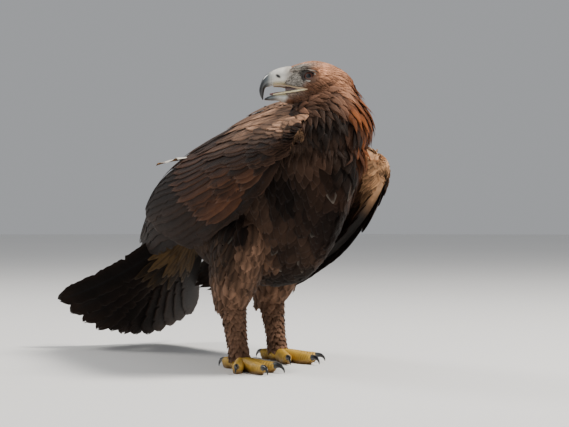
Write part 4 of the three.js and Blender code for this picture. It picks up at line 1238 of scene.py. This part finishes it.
def on_the_body(p):
    return ~on_the_neck(p) & (p[:, 2] < 360) & (p[:, 2] > 105) & (p[:, 1] < 238)


head_places = strew(220000, lambda p: mix(1.35, 3.3, smooth((-head_frame(p)[0] + 15) / 55)), on_the_head)
f, l, u = head_frame(head_places)
back = smooth((-f + 15) / 55)
skin_coat("head_feathers", head_places, mix(5.0, 14, back), mix(1.7, 6.0, back), mix(0.9, 3.2, back),
          "pointed", 6, 3, body_vanes, "nape_plumage", neck_patch, edge_gain=1.35, wander=0.12, sink=0.3,
          root_dark=0.7)
neck_places = strew(60000, lambda p: np.full(len(p), 5.6), on_the_neck)
hind = smooth((-head_frame(neck_places)[0] - 40) / 25)
skin_coat("neck_hackles", neck_places, mix(26, 32, hind), mix(8.5, 7.5, hind),
          mix(5, 10, hind) * rng.uniform(0.6, 1.25, len(neck_places)), "pointed", 9, 5, hackle_vanes,
          "nape_plumage", neck_patch, edge_gain=1.5, cup=0.03, wander=0.2, root_dark=0.2, spread=0.3)
body_places = strew(60000, lambda p: np.full(len(p), 7.4), on_the_body)
front = body_places[:, 1] < -20
mantle = (body_places[:, 2] > 300) & (body_places[:, 1] > -160) & (body_places[:, 1] < 90)
for name, chosen, lift, flecks in (("breast_feathers", front & ~mantle, 5.0, 0.03),
                                   ("rear_body_feathers", ~front & ~mantle, 5.0, 0.0),
                                   ("mantle_feathers", mantle, 8.0, 0.02)):
    skin_coat(name, body_places[chosen], 31.0, 15.5, lift * rng.uniform(0.7, 1.25, chosen.sum()),
              "body", 8, 5, body_vanes, "body_plumage", body_patch, edge_gain=1.3, share=0.4, cup=0.008,
              flecks=flecks, spread=0.22, root_dark=0.6, wander=0.17)

# %% [markdown]
# Stiff dark bristles grow on the pale skin between eye and bill.

# %% Bristles of the face
bristle_places = head_places[(f > 12) & (u > -14) & (u < 9) & (rng.random(len(f)) < 0.2)]
n = len(bristle_places)
top, out = lay_on_skin(bristle_places, np.full(n, 6.5), np.full(n, 0.45), np.full(n, 2.4), "pointed", 5, 3,
                       wander=0.35, sink=0.2)
points, quads = close_vanes(top, out, 0.25)
tones = np.tile(mix(DARK, LORE, 0.25), (len(points), 1))
piece("face_bristles", points, quads, body_vanes, "nape_plumage", (), tones,
      *vane_maps(n, 5, 3, neck_patch(bristle_places)))

# %% [markdown]
# ## The bill
# The upper bill is a hooked wedge of horn, black at the tip and blue-grey towards the face. Behind it
# the cere is bare waxy skin with the nostrils. The lower bill is a shallow scoop, held open a little.

# %% Bill, cere, tongue
# forward and up of the upper edge, forward and up of the lower edge, half width
UPPER_BILL = through([
    [50, 8, 50, -11.5, 11], [56, 4.8, 54, -12.8, 9.5], [61.5, -1.3, 57.5, -13.6, 7.8],
    [65.3, -9.4, 59.4, -16.2, 5.8], [66.9, -17.4, 60.4, -20.5, 4.2], [65.6, -25, 61.2, -26, 2.7],
    [62.6, -30.6, 61.4, -30.2, 0.8],
])
CERE = through([
    [16, 12, 16, -10, 15], [26, 14.4, 26, -12.6, 18], [34, 13.4, 34, -11.8, 16],
    [42, 11.4, 42, -11, 13.2], [49.9, 8.2, 49.9, -11.4, 11.1],
])
LOWER_BILL = through([
    [16, -22, 16, -36, 12], [24, -21, 24, -36.5, 15.6], [33, -21, 33, -34.5, 13.5],
    [42, -22.4, 42, -31.6, 11], [51, -24.4, 51, -31.4, 8.2], [58, -27.6, 58, -31, 4.2],
    [60, -29, 60, -30.6, 1.6],
])
TONGUE = through([
    [18, -17.5, 18, -21.5, 6], [34, -19, 34, -23.5, 5.5], [46, -20.5, 46, -23.8, 4], [53, -22, 53, -24, 1.5],
])
HORN_TIP, HORN_BLUE, HORN_PALE = ink("141416"), ink("60676a"), ink("c4c3bc")
CERE_PALE, CERE_YELLOW, GAPE_YELLOW = ink("e0ddd4"), ink("d2c593"), ink("e6dab0")
GAPE_BROWN = ink("7d5038")


def bill_piece(name, line, colours, material, slot, stands_for, along=40, around=40):
    def rule(share, angle):
        top_at, top, bottom_at, bottom, half = np.moveaxis(line(share), -1, 0)
        up = (np.sin(angle) + 1) / 2
        return on_head(mix(bottom_at, top_at, up), np.cos(angle) * half, mix(bottom, top, up))

    points, faces = loft(rule, along, around)
    return piece(name, points, faces, material, slot, stands_for, colours(*head_frame(points)))


def plain_colour(code):
    return lambda f, l, u: np.tile(ink(code), (len(f), 1))


def upper_paint(f, l, u):
    front = smooth((f - 54.5 - (u + 10) * 0.12) / 9)
    tip = np.clip(front * 0.85 + smooth((-u - 13) / 9), 0, 1)
    colour = mix(HORN_BLUE, HORN_TIP, tip[:, None])
    return mix(HORN_PALE, colour, smooth((f - 49) / 8)[:, None])


def cere_paint(f, l, u):
    # the cere's whitish top is partly its pale skin and partly a painted highlight; below it turns yellow
    colour = mix(CERE_PALE, CERE_YELLOW, smooth((-u - 4) / 8)[:, None])
    colour = mix(LORE, colour, smooth((f - 28) / 8)[:, None])
    colour = mix(colour, HORN_PALE, smooth((f - 45) / 5)[:, None])
    # each nostril is a near-black spot painted on the cere: painted shade in its opening
    nostril_shade = np.exp(-(((f - 41.5) / 3.3) ** 2 + ((u - 0.2 - (f - 41.5) * 0.45) / 2.2) ** 2) * 1.1)
    return mix(colour, ink("0c0908"), (np.clip(nostril_shade * 2.2 - 0.3, 0, 1) * (np.abs(l) > 6))[:, None])


def lower_paint(f, l, u):
    colour = mix(CHEEK, HORN_PALE, smooth((f - 26 + (u + 28) * 0.5) / 7)[:, None])
    colour = mix(colour, HORN_BLUE, smooth((f - 38) / 12)[:, None])
    colour = mix(colour, HORN_TIP, smooth((f - 52) / 6)[:, None])
    return mix(colour, GAPE_YELLOW, (smooth((u + 26) / 2.5) * smooth((54 - f) / 10))[:, None])


bill_piece("upper_bill", UPPER_BILL, upper_paint, horn_finish, "horn", ["bill_upper"])
bill_piece("cere_skin", CERE, cere_paint, cere_finish, "cere_skin", ["cere"], 48, 72)
bill_piece("lower_bill", LOWER_BILL, lower_paint, horn_finish, "horn", ["bill_lower"])
bill_piece("tongue_tip", TONGUE, plain_colour("9a6a66"), wet_finish, "tongue", ["tongue"], 20, 20)

# %% [markdown]
# ## Eyes, lids and brows
# The eye is a dark brown ball with a black pupil, glossy as if wet. Two rings of bare skin hold it,
# dark in front and pale behind, under the bony brow. The gape is a pale fold at the mouth's corner.

# %% Eyes
EYE_DROP = 1.4
IRIS, IRIS_RIM, PUPIL = ink("4e2412"), ink("1c0c07"), ink("030203")
LID_DARK, LID_PALE = ink("2e2620"), ink("a8a298")


def eyeball(name, eye_side):
    centre = on_head(0.0, eye_side * EYE_SIDE, -EYE_DROP)
    outward = unit(SIDEWAYS * eye_side + FORWARD * 0.12)

    def ball_rule(share, angle):
        tilt = share * np.pi
        ahead = unit(FORWARD - outward * (FORWARD @ outward))
        spot = np.cos(tilt)[..., None] * outward + (np.sin(tilt) * np.cos(angle))[..., None] * ahead
        spot = spot + (np.sin(tilt) * np.sin(angle))[..., None] * np.cross(outward, ahead)
        return centre + spot * EYE_RADIUS

    points, faces = loft(ball_rule, 72, 64)
    off_axis = np.degrees(np.arccos(np.clip(unit(points - centre) @ outward, -1, 1)))
    rays = 1 + 0.18 * np.sin(np.arctan2(points[:, 2] - centre[2], (points - centre) @ FORWARD) * 23)
    iris = mix(IRIS * rays[:, None], IRIS_RIM, smooth((off_axis - 20) / 14)[:, None])
    colours = mix(PUPIL, iris, smooth((off_axis - 15) / 3)[:, None])
    colours = mix(colours, PUPIL, smooth((off_axis - 36) / 4)[:, None])
    piece("eyeball_" + name, points, faces, eye_finish, "eye", ["eye_" + name], colours)


def lid_colours(f, l, u):
    return mix(LID_DARK, LID_PALE, smooth((-f - u * 1.2 - 1) / 6)[:, None])


# painted highlight along the brow's lower edge: pale in front, darker behind the eye
def brow_highlight_colours(f, l, u):
    return mix(LORE, LID_DARK, smooth((f + 2) / -8)[:, None])


def gape_colours(tone):
    return lambda f, l, u: mix(tone, GAPE_BROWN, smooth((9 - f) / 5)[:, None] * 0.5)


def lid_line(wide, high, place, thick):
    """A ring round the left eye, bent back over the ball in front and behind."""
    return [(math.cos(a) * wide, place - 1.2 * math.cos(a) ** 2, math.sin(a) * high - EYE_DROP, thick)
            for a in np.linspace(0, 2 * np.pi, 25)]


FACE_LINES = {  # forward, left, up and radius of each place, on the left side
    "lids": (lid_line(8.0, 6.6, 31.0, 1.1), lid_colours),
    "orbit": (lid_line(10.0, 8.4, 29.6, 1.5), lid_colours),
    # the dark tube in the mouth's corner is painted shade inside the gape
    "mouth_corner_shade": ([(4, 32.2, -18.8, 0.4), (11, 29.6, -18.4, 1.2), (19, 25, -18, 2.6),
                      (26, 20.2, -17.4, 3.6), (31, 16.6, -17.2, 4)], plain_colour("3a1f18")),
    # the thin pale tube along the brow's lower edge is a painted highlight
    "brow_highlight": ([(24, 18, 7, 0.4), (15, 27.4, 8.6, 0.8), (5, 32.4, 8, 0.9), (-5, 33.6, 6, 0.8),
                   (-11, 33, 3.4, 0.4)], brow_highlight_colours),
    "gape_upper": ([(3, 32.8, -18.6, 0.8), (11, 30.2, -17.4, 1.2), (20, 25, -15.4, 1.3),
                    (27, 20.2, -13.6, 1.3), (36, 15.2, -11.8, 1.1), (48, 11.3, -11.6, 0.8)],
                   gape_colours(mix(GAPE_BROWN, GAPE_YELLOW, 0.35))),
    "gape_lower": ([(3, 32.8, -19, 0.8), (11, 29.8, -19.4, 1.3), (20, 24, -20.4, 1.4),
                    (27, 18.6, -21, 1.3), (36, 13.2, -22, 1.1), (48, 9.3, -23.8, 0.8)],
                   gape_colours(GAPE_YELLOW)),
}
for name, eye_side in (("right", RIGHT), ("left", LEFT)):
    eyeball(name, eye_side)
    for part, (line, colours) in FACE_LINES.items():
        inside = part == "mouth_corner_shade"
        points, faces = loft(tube_rule(mirrored(line, eye_side), 0.45 if inside else 1.0), 64, 14)
        piece(part + "_" + name, points, faces, wet_finish if inside else cere_finish,
              "tongue" if inside else "cere_skin", (), colours(*head_frame(points)))

# %% [markdown]
# ## Feet
# Four toes with yellow scaled skin, broad scutes across their upper side and black hooked claws.

# %% Toes and claws
TOES = {
    "inner": (-24, 62, 8.2, 32), "middle": (2, 78, 8.0, 30),
    "outer": (30, 60, 7.4, 26), "hind": (176, 46, 8.6, 36),
}
TOE_LINE = through([
    [0, 1, 17, 0.95], [0.25, -4, 17.5, 1], [0.45, 0.5, 16.5, 0.9],
    [0.62, -4, 15.5, 1], [0.82, -3.5, 14.5, 0.88], [0.94, 0.5, 14, 0.76], [1.01, 4, 12, 0.45],
])
PAD_RADIUS, PAD_HEIGHT, PAD_FLAT = 13.5, 9.2, 0.68
TOE_YELLOW, TOE_SHADE = ink("cfa43c"), ink("6e4f1c")


def toe_frame(leg, toe):
    heading = math.radians(TOES[toe][0] * LEGS[leg]["side"] + LEGS[leg]["turn"])
    return np.array(LEGS[leg]["ball"], float), np.array([math.sin(heading), -math.cos(heading), 0.0])


def plate(distance):
    """Height of the plates across a toe, 0 in the grooves between them and 1 on their backs."""
    return np.abs(np.sin(distance * np.pi / 4.6)) ** 0.6


def toe_rule(leg, toe):
    _, length, half, _ = TOES[toe]
    start, way = toe_frame(leg, toe)
    across = np.cross(way, UP)

    def rule(share, angle):
        reach, bottom, top, girth = np.moveaxis(TOE_LINE(share), -1, 0)
        up = (np.sin(angle) + 1) / 2
        ridge = 1.1 * plate(reach * length) * smooth((up - 0.35) / 0.3)
        z = np.maximum(0, mix(bottom, top, up) + ridge)
        spot = start * [1, 1, 0] + (reach * length)[..., None] * way
        spot = spot + (np.cos(angle) * (half * girth + ridge * 0.4))[..., None] * across
        return spot + z[..., None] * UP

    return rule


def claw_rule(leg, toe):
    _, length, _, size = TOES[toe]
    start, way = toe_frame(leg, toe)
    across = np.cross(way, UP)
    start = start * [1, 1, 0] + [0, 0, 8.6] + way * (length - 4)

    def rule(share, angle):
        bend, radius = share * 1.55, size * 0.66
        centre = start + (np.sin(bend) * radius)[..., None] * way
        centre = centre + ((np.cos(bend) - 1) * radius * 0.36 + 3 * np.sin(share * np.pi))[..., None] * UP
        girth = mix(5.7, 0.5, share**0.9)
        outward = np.sin(bend)[..., None] * way + np.cos(bend)[..., None] * UP
        centre = centre + (np.sin(angle) * girth)[..., None] * outward
        return centre + (np.cos(angle) * girth * 0.78)[..., None] * across

    return rule


for leg in LEGS:
    start = np.array(LEGS[leg]["ball"], float)

    def pad_rule(share, angle):
        tilt = share * np.pi
        wide = np.sin(tilt)
        ring = np.stack([wide * np.cos(angle), wide * np.sin(angle), np.cos(tilt) * PAD_FLAT], -1)
        return start * [1, 1, 0] + [0, 0, PAD_HEIGHT] + ring * PAD_RADIUS

    forms, grooves = [], []
    for toe in TOES:
        forms.append(loft(toe_rule(leg, toe), 110, 28))
        reach = np.repeat(TOE_LINE(np.linspace(0, 1, 111))[:, 0], 28) * TOES[toe][1]
        grooves.append(np.append(1 - plate(reach), [0, 0]))
    forms.append(loft(pad_rule, 110, 28))
    grooves.append(np.zeros(len(forms[-1][0])))
    points, faces = joined(forms)
    tone = mix(TOE_SHADE, TOE_YELLOW, smooth((points[:, 2] - 2) / 9)[:, None])
    groove = np.concatenate(grooves) * (points[:, 2] > 7)
    tone = mix(tone, TOE_SHADE * 0.5, (groove * 0.8)[:, None])
    piece("toes_" + leg, points, faces, toe_finish, "toe_skin", ["foot_" + leg], tone)
    for toe in TOES:
        points, faces = loft(claw_rule(leg, toe), 30, 20)
        near = np.linalg.norm((points - start)[:, :2], axis=1) - TOES[toe][1]
        colour = mix(HORN_BLUE * 0.6, HORN_TIP, smooth(near / 8)[:, None])
        piece("talon_" + toe + "_" + leg, points, faces, horn_finish, "horn",
              ["claw_" + toe + "_" + leg], colour)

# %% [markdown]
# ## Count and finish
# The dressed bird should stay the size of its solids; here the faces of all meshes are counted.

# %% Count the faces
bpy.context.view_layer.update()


total = sum(len(o.data.polygons) for o in bpy.data.objects if o.type == "MESH")
print("faces in all:", total)
